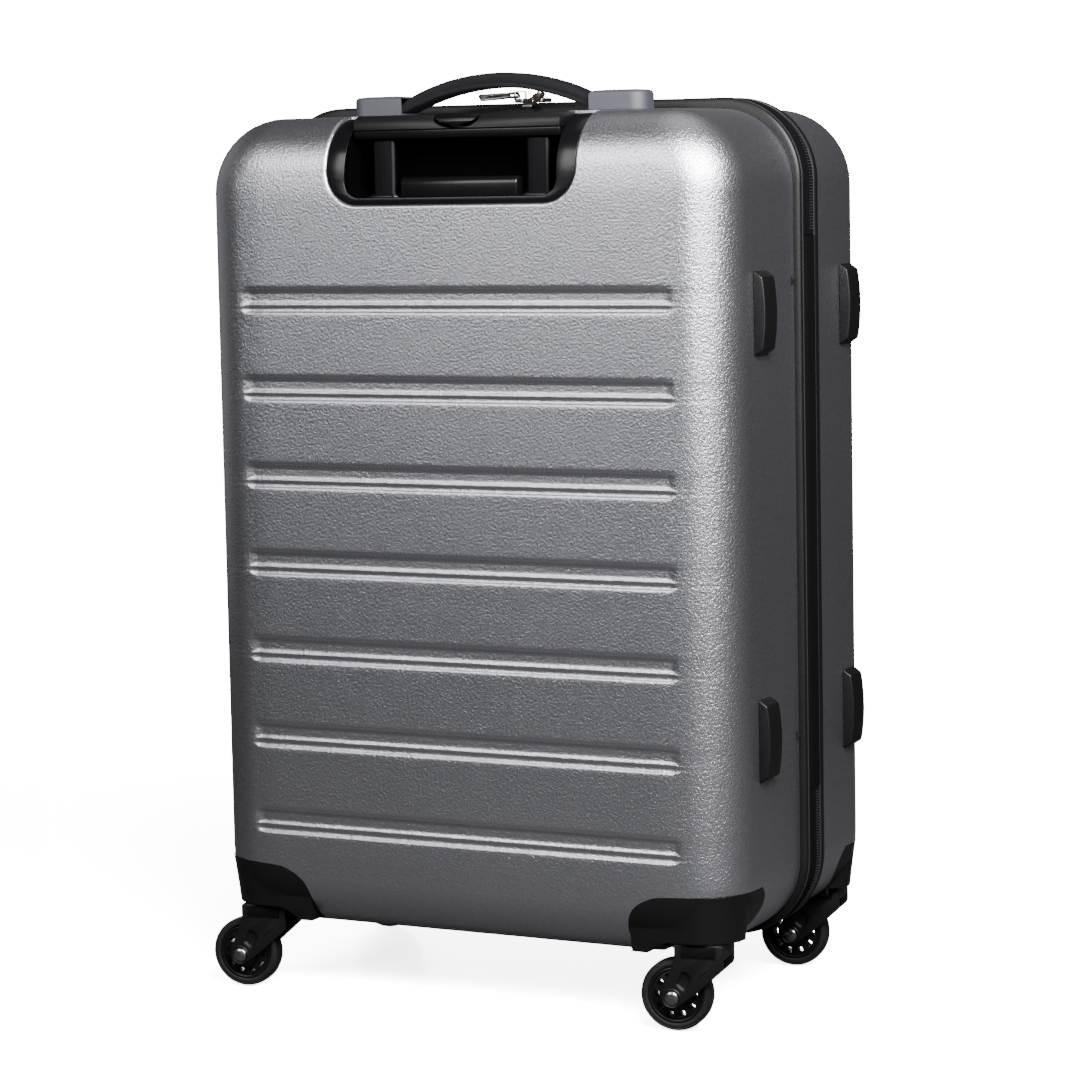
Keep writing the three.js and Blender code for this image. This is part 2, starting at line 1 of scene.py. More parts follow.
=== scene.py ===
"""The looks of the suitcase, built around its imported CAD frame.

Working units are millimetres in a frame whose x = 0 is the middle of the case; put() turns them
into metres in the row frame. The case's main sizes are read from the frame's boxes.
"""
import json
import math

import bmesh
import bpy
import numpy as np
from mathutils import Matrix, Vector


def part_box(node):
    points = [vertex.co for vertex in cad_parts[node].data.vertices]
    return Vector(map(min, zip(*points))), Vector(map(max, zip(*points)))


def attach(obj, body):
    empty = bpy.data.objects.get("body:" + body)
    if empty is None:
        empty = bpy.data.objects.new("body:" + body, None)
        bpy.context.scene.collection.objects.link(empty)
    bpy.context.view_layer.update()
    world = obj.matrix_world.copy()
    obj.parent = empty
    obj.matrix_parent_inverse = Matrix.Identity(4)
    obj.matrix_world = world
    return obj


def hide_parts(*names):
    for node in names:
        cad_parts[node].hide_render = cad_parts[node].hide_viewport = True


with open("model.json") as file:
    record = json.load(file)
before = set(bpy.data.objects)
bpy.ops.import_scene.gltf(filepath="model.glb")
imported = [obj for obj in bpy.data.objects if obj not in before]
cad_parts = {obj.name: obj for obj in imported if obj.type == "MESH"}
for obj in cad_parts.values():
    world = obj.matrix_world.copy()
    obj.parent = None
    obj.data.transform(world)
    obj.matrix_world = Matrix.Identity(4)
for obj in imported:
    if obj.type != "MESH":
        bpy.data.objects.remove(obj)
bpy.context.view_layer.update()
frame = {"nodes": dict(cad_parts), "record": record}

MM = 0.001


def node_box(node):
    """A CAD node's box in millimetres, before the case's middle is known."""
    low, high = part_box(node)
    return np.array(low) / MM, np.array(high) / MM


REAR_LOW, REAR_HIGH = node_box("rear_shell")
FRONT_LOW, FRONT_HIGH = node_box("front_shell")
MIDDLE = np.array([(REAR_LOW[0] + REAR_HIGH[0]) / 2, 0, 0])
HALF_WIDTH = (REAR_HIGH[0] - REAR_LOW[0]) / 2
CASE_BOTTOM = REAR_LOW[2]
CASE_TOP = REAR_HIGH[2]
REAR_FACE, REAR_RIM = REAR_LOW[1], REAR_HIGH[1]
FRONT_RIM, FRONT_FACE = FRONT_LOW[1], FRONT_HIGH[1]
SIDES = ((-1, "left"), (1, "right"))
CORNER_RADIUS = 55
EDGE_RADIUS = 38
WALL = 3
# The flat face inside the rounded edges, and the radius of its corners
FACE_HALF = HALF_WIDTH - EDGE_RADIUS
FACE_LOW, FACE_HIGH = CASE_BOTTOM + EDGE_RADIUS, CASE_TOP - EDGE_RADIUS
FACE_CORNER = CORNER_RADIUS - EDGE_RADIUS


def box_of(node):
    """A CAD node's box in the working frame: lowest and highest corner, in millimetres."""
    low, high = node_box(node)
    return low - MIDDLE, high - MIDDLE


# ---------------------------------------------------------------- mesh tools


def put(name, verts, faces, material, sharp=35):
    """A mesh object from points in the working frame."""
    mesh = bpy.data.meshes.new(name)
    points = (np.asarray(verts, float) + MIDDLE) * MM
    mesh.from_pydata(points.tolist(), [], faces)
    mesh.validate()
    obj = bpy.data.objects.new(name, mesh)
    bpy.context.scene.collection.objects.link(obj)
    if material:
        mesh.materials.append(material)
    shade(obj, sharp)
    return obj


def shade(obj, sharp=35):
    """Smooth shading, with edges kept sharp beyond an angle in degrees."""
    mesh = obj.data
    mesh.polygons.foreach_set("use_smooth", [True] * len(mesh.polygons))
    mesh.set_sharp_from_angle(angle=math.radians(sharp))
    mesh.update()


def tidy(obj, merge=1e-6):
    """Merges doubled points and turns the faces outwards."""
    work = bmesh.new()
    work.from_mesh(obj.data)
    bmesh.ops.remove_doubles(work, verts=work.verts, dist=merge)
    bmesh.ops.recalc_face_normals(work, faces=work.faces)
    work.to_mesh(obj.data)
    work.free()
    obj.data.update()
    return obj


def apply_modifiers(obj, sharp=35):
    graph = bpy.context.evaluated_depsgraph_get()
    mesh = bpy.data.meshes.new_from_object(obj.evaluated_get(graph))
    obj.modifiers.clear()
    obj.data = mesh
    shade(obj, sharp)
    return obj


def soften(obj, width, segments=3, angle=30, sharp=35):
    """Rounds the edges that are sharper than angle."""
    bevel = obj.modifiers.new("soft edges", "BEVEL")
    bevel.width = width * MM
    bevel.segments = segments
    bevel.limit_method = "ANGLE"
    bevel.angle_limit = math.radians(angle)
    return apply_modifiers(obj, sharp)


def boolean(obj, other, operation="DIFFERENCE"):
    """Cuts obj with other, or as the operation says; other is used up."""
    cut = obj.modifiers.new("cut", "BOOLEAN")
    cut.operation = operation
    cut.object = other
    cut.solver = "EXACT"
    apply_modifiers(obj)
    bpy.data.objects.remove(other)
    return obj


def thicken(obj, thickness, sharp):
    """Turns an open sheet into a solid of even thickness."""
    solid = obj.modifiers.new("thickness", "SOLIDIFY")
    solid.thickness = thickness * MM
    solid.offset = 0
    return apply_modifiers(obj, sharp)


def grid_faces(rows, columns, close_rows=False, close_columns=False, start=0):
    """Faces between the rows of a grid of points, which are numbered from start."""
    faces = []
    for r in range(rows if close_rows else rows - 1):
        for c in range(columns if close_columns else columns - 1):
            a = start + r * columns + c
            b = start + r * columns + (c + 1) % columns
            d = start + ((r + 1) % rows) * columns + c
            e = start + ((r + 1) % rows) * columns + (c + 1) % columns
            faces.append((a, b, e, d))
    return faces


def stack_faces(levels, count, start=0):
    """Faces of a closed stack of rings: its sides, then its bottom and top."""
    faces = grid_faces(levels, count, close_columns=True, start=start)
    last = start + (levels - 1) * count
    return faces + [tuple(reversed(range(start, start + count))), tuple(range(last, last + count))]


def ring_faces(rings):
    """Faces of a skin between rings of point numbers, each as long as the first."""
    faces = []
    for inner, outer in zip(rings, rings[1:]):
        count = len(inner)
        for i in range(count):
            j = (i + 1) % count
            faces.append((int(inner[i]), int(outer[i]), int(outer[j]), int(inner[j])))
    return faces


def unit_rows(vectors):
    return vectors / np.linalg.norm(vectors, axis=1)[:, None]


def sweep(name, path, across, up, section, material, closed=False, sharp=35):
    """A closed section, in (across, up) steps, carried along a path of points."""
    path, across, up = (np.asarray(v, float) for v in (path, across, up))
    section = np.asarray(section, float)
    if section.ndim == 2:
        section = np.repeat(section[None], len(path), 0)
    verts = (
        path[:, None]
        + section[:, :, :1] * across[:, None]
        + section[:, :, 1:] * up[:, None]
    ).reshape(-1, 3)
    rows, columns = len(path), section.shape[1]
    if closed:
        faces = grid_faces(rows, columns, close_rows=True, close_columns=True)
    else:
        faces = stack_faces(rows, columns)
    return tidy(put(name, verts, faces, material, sharp))


def lathe(name, profile, material, steps=64, sharp=35):
    """A closed (radius, y) profile turned about the y axis."""
    profile = np.asarray(profile, float)
    angles = np.linspace(0, 2 * math.pi, steps, endpoint=False)
    verts = np.empty((steps, len(profile), 3))
    verts[:, :, 0] = profile[:, 0] * np.sin(angles)[:, None]
    verts[:, :, 1] = profile[:, 1]
    verts[:, :, 2] = profile[:, 0] * np.cos(angles)[:, None]
    faces = grid_faces(steps, len(profile), close_rows=True, close_columns=True)
    return tidy(put(name, verts.reshape(-1, 3), faces, material, sharp))


AXES = {"X": (1, 2, 0), "Y": (0, 2, 1), "Z": (0, 1, 2)}


def prism(name, outline, low, high, axis, material):
    """An outline in the two axes left of the named one, carried along it from low to high."""
    first, second, third = AXES[axis]
    count = len(outline)
    verts = np.empty((2 * count, 3))
    for layer, level in enumerate((low, high)):
        rows = verts[layer * count:(layer + 1) * count]
        rows[:, first] = [p[0] for p in outline]
        rows[:, second] = [p[1] for p in outline]
        rows[:, third] = level
    faces = [tuple(range(count)), tuple(range(count, 2 * count))]
    faces += grid_faces(2, count, close_columns=True)
    return tidy(put(name, verts, faces, material))


def block(name, low, high):
    """A plain box, as a tool for booleans."""
    outline = [(low[0], low[1]), (high[0], low[1]), (high[0], high[1]), (low[0], high[1])]
    return prism(name, outline, low[2], high[2], "Z", None)


def arc(cx, cy, radius, start, end, steps):
    """Points of an arc, angles in degrees."""
    angles = np.radians(np.linspace(start, end, steps + 1))
    return [(cx + radius * math.cos(a), cy + radius * math.sin(a)) for a in angles]


def rounded(x0, x1, y0, y1, radius, steps=6):
    """A rectangle with round corners."""
    return (
        arc(x1 - radius, y0 + radius, radius, -90, 0, steps)
        + arc(x1 - radius, y1 - radius, radius, 0, 90, steps)
        + arc(x0 + radius, y1 - radius, radius, 90, 180, steps)
        + arc(x0 + radius, y0 + radius, radius, 180, 270, steps)
    )


def smooth_curve(points, per_span=10):
    """A Catmull-Rom curve through the points."""
    points = np.asarray(points, float)
    padded = np.vstack([2 * points[0] - points[1], points, 2 * points[-1] - points[-2]])
    result = []
    for i in range(len(points) - 1):
        a, b, c, d = padded[i:i + 4]
        for t in np.linspace(0, 1, per_span, endpoint=False):
            result.append(
                0.5 * (2 * b + (c - a) * t + (2 * a - 5 * b + 4 * c - d) * t**2
                       + (3 * b - a - 3 * c + d) * t**3)
            )
    result.append(points[-1])
    return [tuple(p) for p in result]


def smoothstep(value):
    value = np.clip(value, 0, 1)
    return value * value * (3 - 2 * value)


def mirrored(outline):
    return [(-a, b) for a, b in reversed(outline)]


def join(name, objects):
    """Joins separate solids into one piece."""
    first = objects[0]
    with bpy.context.temp_override(active_object=first, selected_editable_objects=objects,
                                   selected_objects=objects):
        bpy.ops.object.join()
    first.name = name
    first.data.name = name
    return first


def ride(obj, body, slot, *nodes):
    """Puts a piece on its body and hides the CAD nodes that it stands for; the slot is not used."""
    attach(obj, body)
    if nodes:
        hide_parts(*nodes)
    return obj


def moved(obj, matrix):
    """Moves a piece's points; the matrix is in the working frame."""
    to_work = Matrix.Translation(Vector(MIDDLE * MM))
    obj.data.transform(to_work @ matrix @ to_work.inverted())
    if matrix.determinant() < 0:
        obj.data.flip_normals()
    obj.data.update()
    return obj


def shift(x, y, z):
    return Matrix.Translation(Vector((x, y, z)) * MM)


def copy_of(obj, name):
    twin = obj.copy()
    twin.data = obj.data.copy()
    twin.name = name
    bpy.context.scene.collection.objects.link(twin)
    return twin


# ---------------------------------------------------------------- materials


class Nodes:
    """Short names for building a material's nodes."""

    def __init__(self, name):
        self.material = bpy.data.materials.new(name)
        self.material.use_nodes = True
        self.tree = self.material.node_tree
        self.shader = self.tree.nodes["Principled BSDF"]
        coordinates = self.tree.nodes.new("ShaderNodeTexCoord")
        self.place = coordinates.outputs["Object"]

    def give(self, socket, value):
        """Links another node's output to a socket, or sets the socket's own value."""
        if hasattr(value, "is_output"):
            self.tree.links.new(value, socket)
        else:
            socket.default_value = value

    def add(self, kind, **inputs):
        node = self.tree.nodes.new(kind)
        for key, value in inputs.items():
            self.give(node.inputs[key.replace("_", " ")], value)
        return node

    def noise(self, scale, detail=2.0, rough=0.5, stretch=None, distortion=0.0):
        vector = self.place
        if stretch:
            vector = self.add("ShaderNodeMapping", Vector=self.place, Scale=stretch).outputs[0]
        node = self.add("ShaderNodeTexNoise", Vector=vector, Scale=scale, Detail=detail,
                        Roughness=rough, Distortion=distortion)
        return node.outputs["Fac"]

    def wave(self, scale, direction):
        node = self.add("ShaderNodeTexWave", Vector=self.place, Scale=scale)
        node.bands_direction = direction
        return node.outputs["Fac"]

    def math(self, operation, a, b=0.0):
        node = self.tree.nodes.new("ShaderNodeMath")
        node.operation = operation
        for socket, value in zip(node.inputs, (a, b)):
            self.give(socket, value)
        return node.outputs[0]

    def ramp(self, fac, low, high):
        node = self.add("ShaderNodeMapRange", Value=fac)
        node.inputs["To Min"].default_value = low
        node.inputs["To Max"].default_value = high
        return node.outputs[0]

    def blend(self, fac, first, second):
        node = self.tree.nodes.new("ShaderNodeMix")
        node.data_type = "RGBA"
        self.tree.links.new(fac, node.inputs["Factor"])
        node.inputs["A"].default_value = (*first, 1)
        node.inputs["B"].default_value = (*second, 1)
        return node.outputs["Result"]

    def mix(self, fac, first, second):
        """A mix of two shaders, as an output."""
        node = self.tree.nodes.new("ShaderNodeMixShader")
        for socket, value in zip(node.inputs, (fac, first, second)):
            self.give(socket, value)
        return node.outputs[0]

    def finish(self, color, roughness, normal, **others):
        """Sets the shader's main sockets, and others by their names, and gives the material."""
        others.update({"Base Color": color, "Roughness": roughness, "Normal": normal})
        for name, value in others.items():
            self.give(self.shader.inputs[name.replace("_", " ")], value)
        return self.material

    def bump(self, height, distance, strength):
        node = self.add("ShaderNodeBump", Height=height, Distance=distance, Strength=strength)
        return node.outputs[0]


def shell_material():
    """Silver-grey moulded shell with a pebbled grain."""
    n = Nodes("shell grey")
    grain = n.noise(560, detail=3, rough=0.6, distortion=0.4)
    blotch = n.noise(9, detail=3)
    color = n.blend(blotch, (0.300, 0.298, 0.330), (0.335, 0.333, 0.365))
    return n.finish(color, n.ramp(grain, 0.24, 0.38), n.bump(grain, 0.0007, 0.6), Metallic=0.98)


BLACK_SPECULAR = 0.16
PLASTIC_VARIATION = 0.1


def plastic(name, color, roughness, grain=0.0001, specular=BLACK_SPECULAR):
    """Moulded plastic: a fine grain in the surface and a slow change of sheen."""
    n = Nodes(name)
    fine = n.noise(1400)
    slow = n.noise(30, detail=3)
    lighter = tuple(c * (1 + PLASTIC_VARIATION) for c in color)
    return n.finish(n.blend(slow, color, lighter), n.ramp(slow, roughness - 0.04, roughness + 0.05),
                    n.bump(fine, grain, 0.4), Specular_IOR_Level=specular)


def speckled_material():
    """Slate-grey end caps with a fine pale speckle."""
    n = Nodes("slate caps")
    speck = n.noise(2600, detail=3, rough=0.7)
    contrast = n.ramp(n.math("POWER", speck, 2.0), 0.0, 1.6)
    color = n.blend(contrast, (0.005, 0.005, 0.0075), (0.024, 0.024, 0.034))
    return n.finish(color, 0.62, n.bump(speck, 0.0002, 0.5))


WAVES_PER_METRE = 500  # a wave texture's scale for ribs of 1 mm


def woven(name, dark, light, pitch, roughness=0.85, depth=0.0002):
    """Woven tape or webbing: crossing ribs of one pitch in millimetres, fuzz on top."""
    n = Nodes(name)
    scale = WAVES_PER_METRE / pitch
    ribs = n.math("MULTIPLY", n.wave(scale, "X"), n.wave(scale, "Z"))
    ribs = n.math("ADD", ribs, n.math("MULTIPLY", n.wave(scale, "Y"), 0.6))
    fuzz = n.noise(3500)
    mixed = n.math("ADD", n.math("MULTIPLY", ribs, 0.6), n.math("MULTIPLY", fuzz, 0.4))
    return n.finish(n.blend(mixed, dark, light), roughness, n.bump(mixed, depth, 0.7),
                    Specular_IOR_Level=0.03)


METAL_WEAR = 0.12


def metal(name, color, roughness, scale=250, stretch=(1, 1, 1)):
    """Plated or polished metal; a stretched pattern looks brushed."""
    n = Nodes(name)
    lines = n.noise(scale, detail=3, stretch=stretch)
    slow = n.noise(60, detail=3)
    return n.finish(n.blend(slow, tuple(c * (1 - METAL_WEAR) for c in color), color),
                    n.ramp(lines, roughness - 0.07, roughness + 0.1),
                    n.bump(lines, 0.00005, 0.3), Metallic=1.0)


def rubber_material():
    """Soft black rubber, a little uneven."""
    n = Nodes("tyre rubber")
    fine = n.noise(1800, detail=3)
    slow = n.noise(90, detail=3)
    color = n.blend(slow, (0.0025, 0.0025, 0.0025), (0.005, 0.005, 0.005))
    return n.finish(color, n.ramp(slow, 0.5, 0.66), n.bump(fine, 0.0001, 0.4),
                    Specular_IOR_Level=BLACK_SPECULAR)


SHELL = shell_material()
# A darker copy of the bezel's black plastic, with no reflections. It stands for the shade inside the
# pull handle's recess: painted shade.
PAINTED_SHADE = plastic("recess painted shade", (0.0006, 0.0006, 0.0007), 0.7, grain=0.00003, specular=0.0)
GLOSS = plastic("black gloss plastic", (0.0016, 0.0016, 0.0018), 0.24, grain=0.00002)
SATIN = plastic("black satin plastic", (0.002, 0.002, 0.0022), 0.42)
HUB = plastic("black hub plastic", (0.002, 0.002, 0.0022), 0.36)
CAPS = speckled_material()
TAPE = woven("zip tape", (0.0008, 0.0008, 0.0009), (0.0028, 0.0028, 0.003), 0.8)
WEBBING = woven("strap webbing", (0.0016, 0.0016, 0.0018), (0.008, 0.008, 0.009), 1.3, depth=0.0003)
LINING = woven("lining", (0.07, 0.072, 0.084), (0.14, 0.144, 0.165), 0.7, roughness=0.8)
NICKEL = metal("nickel", (0.16, 0.15, 0.14), 0.3)
STEEL = metal("steel", (0.26, 0.25, 0.235), 0.24)
ALUMINIUM = metal("anodised tube", (0.010, 0.010, 0.011), 0.36, 900, (1, 1, 0.02))
RUBBER = rubber_material()
COIL = plastic("zip coil", (0.012, 0.012, 0.013), 0.3)
PIPING = plastic("edge piping", (0.010, 0.010, 0.012), 0.22, grain=0.00003)
BRONZE = metal("worn nickel", (0.17, 0.145, 0.125), 0.30)
MESH = woven("pocket mesh", (0.012, 0.012, 0.014), (0.045, 0.045, 0.05), 2.2, roughness=0.7,
             depth=0.0004)

# ---------------------------------------------------------------- shells

GROOVE_LOWEST, GROOVE_PITCH, GROOVE_COUNT = 124, 64, 7
GROOVE_LINES = [GROOVE_LOWEST + GROOVE_PITCH * i for i in range(GROOVE_COUNT)]
GROOVE_END = 175.5
GROOVE_FADE = 10
PINCH_BELOW, PINCH_CENTRE, PINCH = 9, 3.3, 0.9  # the lower rib closes up at a groove's ends
# Section of a groove, from below its lower edge to above its upper one: (height, depth)
GROOVE_SECTION = np.array([
    (-3, 0), (-1.5, 0.1), (1.2, 1.6), (2.4, 1.75), (4.6, 1.15), (5.3, 1.1), (7.6, 2.15),
    (8.6, 2.3), (13.2, 2.3), (14.0, 2.1), (16.5, 0.6), (19, 0.05), (20, 0),
])


def groove_depth(x, z, lines):
    """Depth of the shell's grooves at points of its flat face."""
    fade = smoothstep((GROOVE_END - np.abs(x)) / GROOVE_FADE)
    depth = np.zeros(np.broadcast(x, z).shape)
    for line in lines:
        height = z - line
        pinch = np.where(height < PINCH_BELOW, 1 + PINCH * (1 - fade) ** 2, 1)
        height = PINCH_CENTRE + (height - PINCH_CENTRE) * pinch
        index = np.clip(np.searchsorted(GROOVE_SECTION[:, 0], height) - 1, 0,
                        len(GROOVE_SECTION) - 2)
        low, high = GROOVE_SECTION[index], GROOVE_SECTION[index + 1]
        part = smoothstep((height - low[..., 0]) / (high[..., 0] - low[..., 0]))
        depth += np.where(
            (height > GROOVE_SECTION[0, 0]) & (height < GROOVE_SECTION[-1, 0]),
            low[..., 1] + part * (high[..., 1] - low[..., 1]),
            0,
        )
    return depth * fade


def face_rows(lines):
    """Heights of the face's grid rows: close together across each groove."""
    low, high = FACE_LOW, FACE_HIGH
    rows = {low, high}
    for line in lines:
        rows.update(np.round(np.arange(line - 3, line + 20.1, 0.65), 3))
    rows.update(np.linspace(low + FACE_CORNER, high - FACE_CORNER, 130))
    rows = sorted(rows)
    kept = [rows[0]]
    for value in rows[1:]:
        if low + FACE_CORNER <= value <= high - FACE_CORNER and value - kept[-1] > 0.4:
            kept.append(value)
    turn = FACE_CORNER * np.sin(np.radians(np.linspace(0, 90, 13)[1:]))
    return np.concatenate([(low + FACE_CORNER - turn)[::-1], kept[1:], high - FACE_CORNER + turn])


def face_columns():
    """Places of the grid columns across the face, -1 to 1: close together at the groove ends."""
    fine_from = 155
    middle = np.linspace(0, fine_from, 26)[:-1]
    half = np.concatenate([middle, np.linspace(fine_from, FACE_HALF, 16)]) / FACE_HALF
    return np.concatenate([-half[::-1][:-1], half])


# The face bends a little before its rounded edge starts, so the two run into each other.
CROWN_WIDTH, CROWN_DEPTH = 24, 1.25
FIRST_TILT = math.atan(2 * CROWN_DEPTH / CROWN_WIDTH)
TURN_RADIUS = EDGE_RADIUS / (1 - math.sin(FIRST_TILT))


def crown(distance):
    """Depth of the face near its border, at a distance inside it: the start of the rounding."""
    return CROWN_DEPTH * np.clip(1 - np.asarray(distance, float) / CROWN_WIDTH, 0, 1) ** 2


def edge_point(angle, inset=0.0):
    """The rounded edge's section at a tilt: offset outside the face's border, and depth."""
    offset = TURN_RADIUS * (math.sin(angle) - math.sin(FIRST_TILT))
    depth = CROWN_DEPTH + TURN_RADIUS * (math.cos(FIRST_TILT) - math.cos(angle))
    return offset - inset * math.sin(angle), depth + inset * math.cos(angle)


TURN_DEPTH = edge_point(math.pi / 2)[1]


def face_grid(z, u):
    """The flat face as a grid: x, z, the depth of its crown, and the numbers of its border."""
    over = np.maximum(0, np.maximum(z - (FACE_HIGH - FACE_CORNER), (FACE_LOW + FACE_CORNER) - z))
    width = FACE_HALF - FACE_CORNER + np.sqrt(np.maximum(FACE_CORNER**2 - over**2, 0))
    x = width[:, None] * u[None]
    zz = np.repeat(z[:, None], len(u), 1)
    bend = crown(FACE_HALF - np.abs(x)) + crown(zz - FACE_LOW) + crown(FACE_HIGH - zz)
    index = np.arange(x.size).reshape(x.shape)
    ring = np.concatenate([index[0], index[1:, -1], index[-1, -2::-1], index[-2:0:-1, 0]])
    return x, zz, bend, ring


def outwards(border):
    """Directions that lead away from the face at (x, z) points of its border."""
    core = np.stack([np.clip(border[:, 0], -FACE_HALF + FACE_CORNER, FACE_HALF - FACE_CORNER),
                     np.clip(border[:, 1], FACE_LOW + FACE_CORNER, FACE_HIGH - FACE_CORNER)], -1)
    return unit_rows(border - core)


def skin_rings(ring, start, layers):
    """Point numbers of the rings around a face's border, in layers numbered from start."""
    count = len(ring)
    return [ring] + [start + k * count + np.arange(count) for k in range(layers)]


def shell_surface(face_y, rim_y, lines):
    """Points and faces of one closed shell: face, rounded edge, sides, rim and inside."""
    inward = 1 if rim_y > face_y else -1
    x, z, bend, ring = face_grid(face_rows(lines), face_columns())
    y = face_y + inward * (groove_depth(x, z, lines) + bend)
    face = np.stack([x, y, z], -1).reshape(-1, 3)
    edge = face[ring][:, [0, 2]]
    out = outwards(edge)
    extra = np.abs(face[ring][:, 1] - face_y) - CROWN_DEPTH

    def loop(offset, depth, follow=0.0):
        moved_edge = edge + out * offset
        level = face_y + inward * (depth + extra * follow)
        return np.stack([moved_edge[:, 0], level, moved_edge[:, 1]], -1)

    turn = np.linspace(FIRST_TILT, math.pi / 2, 17)
    loops = [loop(*edge_point(a), 1 - k / 15) for k, a in enumerate(turn[1:])]
    total = abs(rim_y - face_y)
    loops += [loop(EDGE_RADIUS, d) for d in np.linspace(TURN_DEPTH, total - 0.8, 12)[1:]]
    loops.append(loop(EDGE_RADIUS - 0.25, total - 0.25))
    loops.append(loop(EDGE_RADIUS - 0.8, total))
    inner = EDGE_RADIUS - WALL
    loops.append(loop(inner, total))
    loops += [loop(inner, d) for d in np.linspace(total, TURN_DEPTH, 5)[1:]]
    loops += [loop(*edge_point(a, WALL)) for a in turn[-3:0:-2]]
    rings = skin_rings(ring, len(face), len(loops))
    faces = grid_faces(*x.shape) + ring_faces(rings)
    faces.append(tuple(reversed(rings[-1].tolist())))
    return np.concatenate([face] + loops), faces


def surface_point(x, z):
    """Point and outward normal of the rear shell seen from behind, away from its sides."""
    over = z - FACE_HIGH
    if over <= 0:
        depth = float(crown(-over))
        tilt = math.atan(2 / CROWN_WIDTH * math.sqrt(CROWN_DEPTH * depth))
    else:
        tilt = math.asin(min(over / TURN_RADIUS + math.sin(FIRST_TILT), 1))
        depth = edge_point(tilt)[1]
    normal = np.array([0, -math.cos(tilt), math.sin(tilt)])
    return np.array([x, REAR_FACE + depth, z]), normal


def u_shape(half, bottom, radius, top, steps):
    """An outline with round lower corners, open at the top."""
    return (
        [(-half, top)]
        + arc(-half + radius, bottom + radius, radius, 180, 270, steps)
        + arc(half - radius, bottom + radius, radius, 270, 360, steps)
        + [(half, top)]
    )


NOTCH_HALF = 99.7
NOTCH_BOTTOM = box_of("trolley_tray")[0][2]
NOTCH_BACK = box_of("trolley_tray")[1][1]
NOTCH_RADIUS = 25
LIP = 2.4


def notch_outline(grow):
    """The pull handle's notch seen from behind, wider all round by grow."""
    return u_shape(NOTCH_HALF + grow, NOTCH_BOTTOM - grow, NOTCH_RADIUS + grow, CASE_TOP + 40, 12)


def notch_lip():
    """The shell's edge rolling into the notch, carried round it and over the top edge."""
    radius = NOTCH_RADIUS + LIP
    half = NOTCH_HALF + LIP
    bottom = NOTCH_BOTTOM - LIP
    tilts = np.radians(np.linspace(90, 0, 13))
    over_edge = [FACE_HIGH + EDGE_RADIUS * math.sin(a) for a in tilts]
    left = [((-half, z), (1, 0)) for z in over_edge]
    corner_l = [
        ((-half + radius + radius * math.cos(a), bottom + radius + radius * math.sin(a)),
         (-math.cos(a), -math.sin(a)))
        for a in np.radians(np.linspace(180, 270, 13))
    ]
    base = [((x, bottom), (0, 1)) for x in np.linspace(-half + radius, half - radius, 10)[1:-1]]
    outline = left + corner_l + base
    outline += [((-x, z), (-i, j)) for (x, z), (i, j) in reversed(left + corner_l)]
    path, across, up = [], [], []
    for (x, z), (i, j) in outline:
        point, normal = surface_point(x, z)
        inward = np.array([i, 0, j], float)
        inward -= normal * inward.dot(normal)
        inward /= np.linalg.norm(inward)
        path.append(point)
        across.append(inward)
        up.append(normal)
    for end, near in ((0, 0), (len(path), -1)):
        path.insert(end, np.array([path[near][0], NOTCH_BACK, path[near][2]]))
        across.insert(end, across[near])
        up.insert(end, up[near])
    roll = [(LIP * math.sin(a), -LIP * (1 - math.cos(a))) for a in np.radians(range(0, 91, 15))]
    section = [(-0.6, -0.02)] + roll + [(LIP, -WALL - 1), (-0.6, -WALL - 1)]
    return sweep("notch_lip", path, across, up, section, SHELL, sharp=60)


CASTER_X, CASTER_Y = 178, 108
FORK_ROOM = 65.5  # the boots' floor, over the forks
SWIVEL_ROOM = 25.4
BOOT_GAP = 0.3

# Outlines of the caster boots: one seen along y, one along x, for the rear right corner
BOOT_FACE = smooth_curve([
    (127, 46), (129.5, 58), (129.3, 70), (130.5, 78), (133.5, 86), (139, 91.5), (147, 95.8),
    (157, 98.4), (190, 99.7), (230, 100),
], 5)
BOOT_SIDE = smooth_curve([
    (-150, 100.5), (-86, 100.5), (-77, 98), (-71.5, 92), (-70, 84), (-73, 76), (-79, 68), (-84, 57),
    (-87, 46),
], 5)


def boot_region(side_x, side_y, grow):
    """The part of space that a corner's boot may fill."""
    face = [(x - grow, z + grow) for x, z in BOOT_FACE] + [(230, 30), (127 - grow, 30)]
    side = [(y + grow, z + grow) for y, z in BOOT_SIDE] + [(-87 + grow, 30), (-150, 30)]
    if side_x < 0:
        face = mirrored(face)
    if side_y > 0:
        side = mirrored(side)
    region = prism("region", face, -200, 200, "Y", None)
    return boolean(region, prism("region_side", side, -300, 300, "X", None), "INTERSECT")


def swivel_room(side_x, side_y):
    """The round space in which a fork's neck turns."""
    outline = arc(side_x * CASTER_X, side_y * CASTER_Y, SWIVEL_ROOM, 0, 355, 71)
    return prism("swivel_room", outline, 40, FORK_ROOM, "Z", None)


def build_shell(name, face_y, rim_y, lines, side_y):
    """One half of the hard shell, with room for its two boots and forks."""
    verts, faces = shell_surface(face_y, rim_y, lines)
    shell = tidy(put(name, verts, faces, SHELL), 1e-7)
    for side_x in (-1, 1):
        boolean(shell, boot_region(side_x, side_y, BOOT_GAP))
        boolean(shell, swivel_room(side_x, side_y))
    return shell


def build_shells():
    """Both shells; the rear one has the pull handle's notch."""
    rear = build_shell("rear_shell_skin", REAR_FACE, REAR_RIM, GROOVE_LINES, -1)
    boolean(rear, prism("notch", notch_outline(LIP), REAR_FACE - 20, NOTCH_BACK, "Y", None))
    shade(rear, 50)
    ride(rear, "rear_case", "shell_grey", "rear_shell")
    ride(notch_lip(), "rear_case", "shell_grey")
    front = build_shell("front_shell_skin", FRONT_FACE, FRONT_RIM,
                        GROOVE_LINES + [GROOVE_LINES[-1] + GROOVE_PITCH], 1)
    shade(front, 50)
    ride(front, "front_case", "shell_grey", "front_shell")


build_shells()

# ---------------------------------------------------------------- zip band and hinge

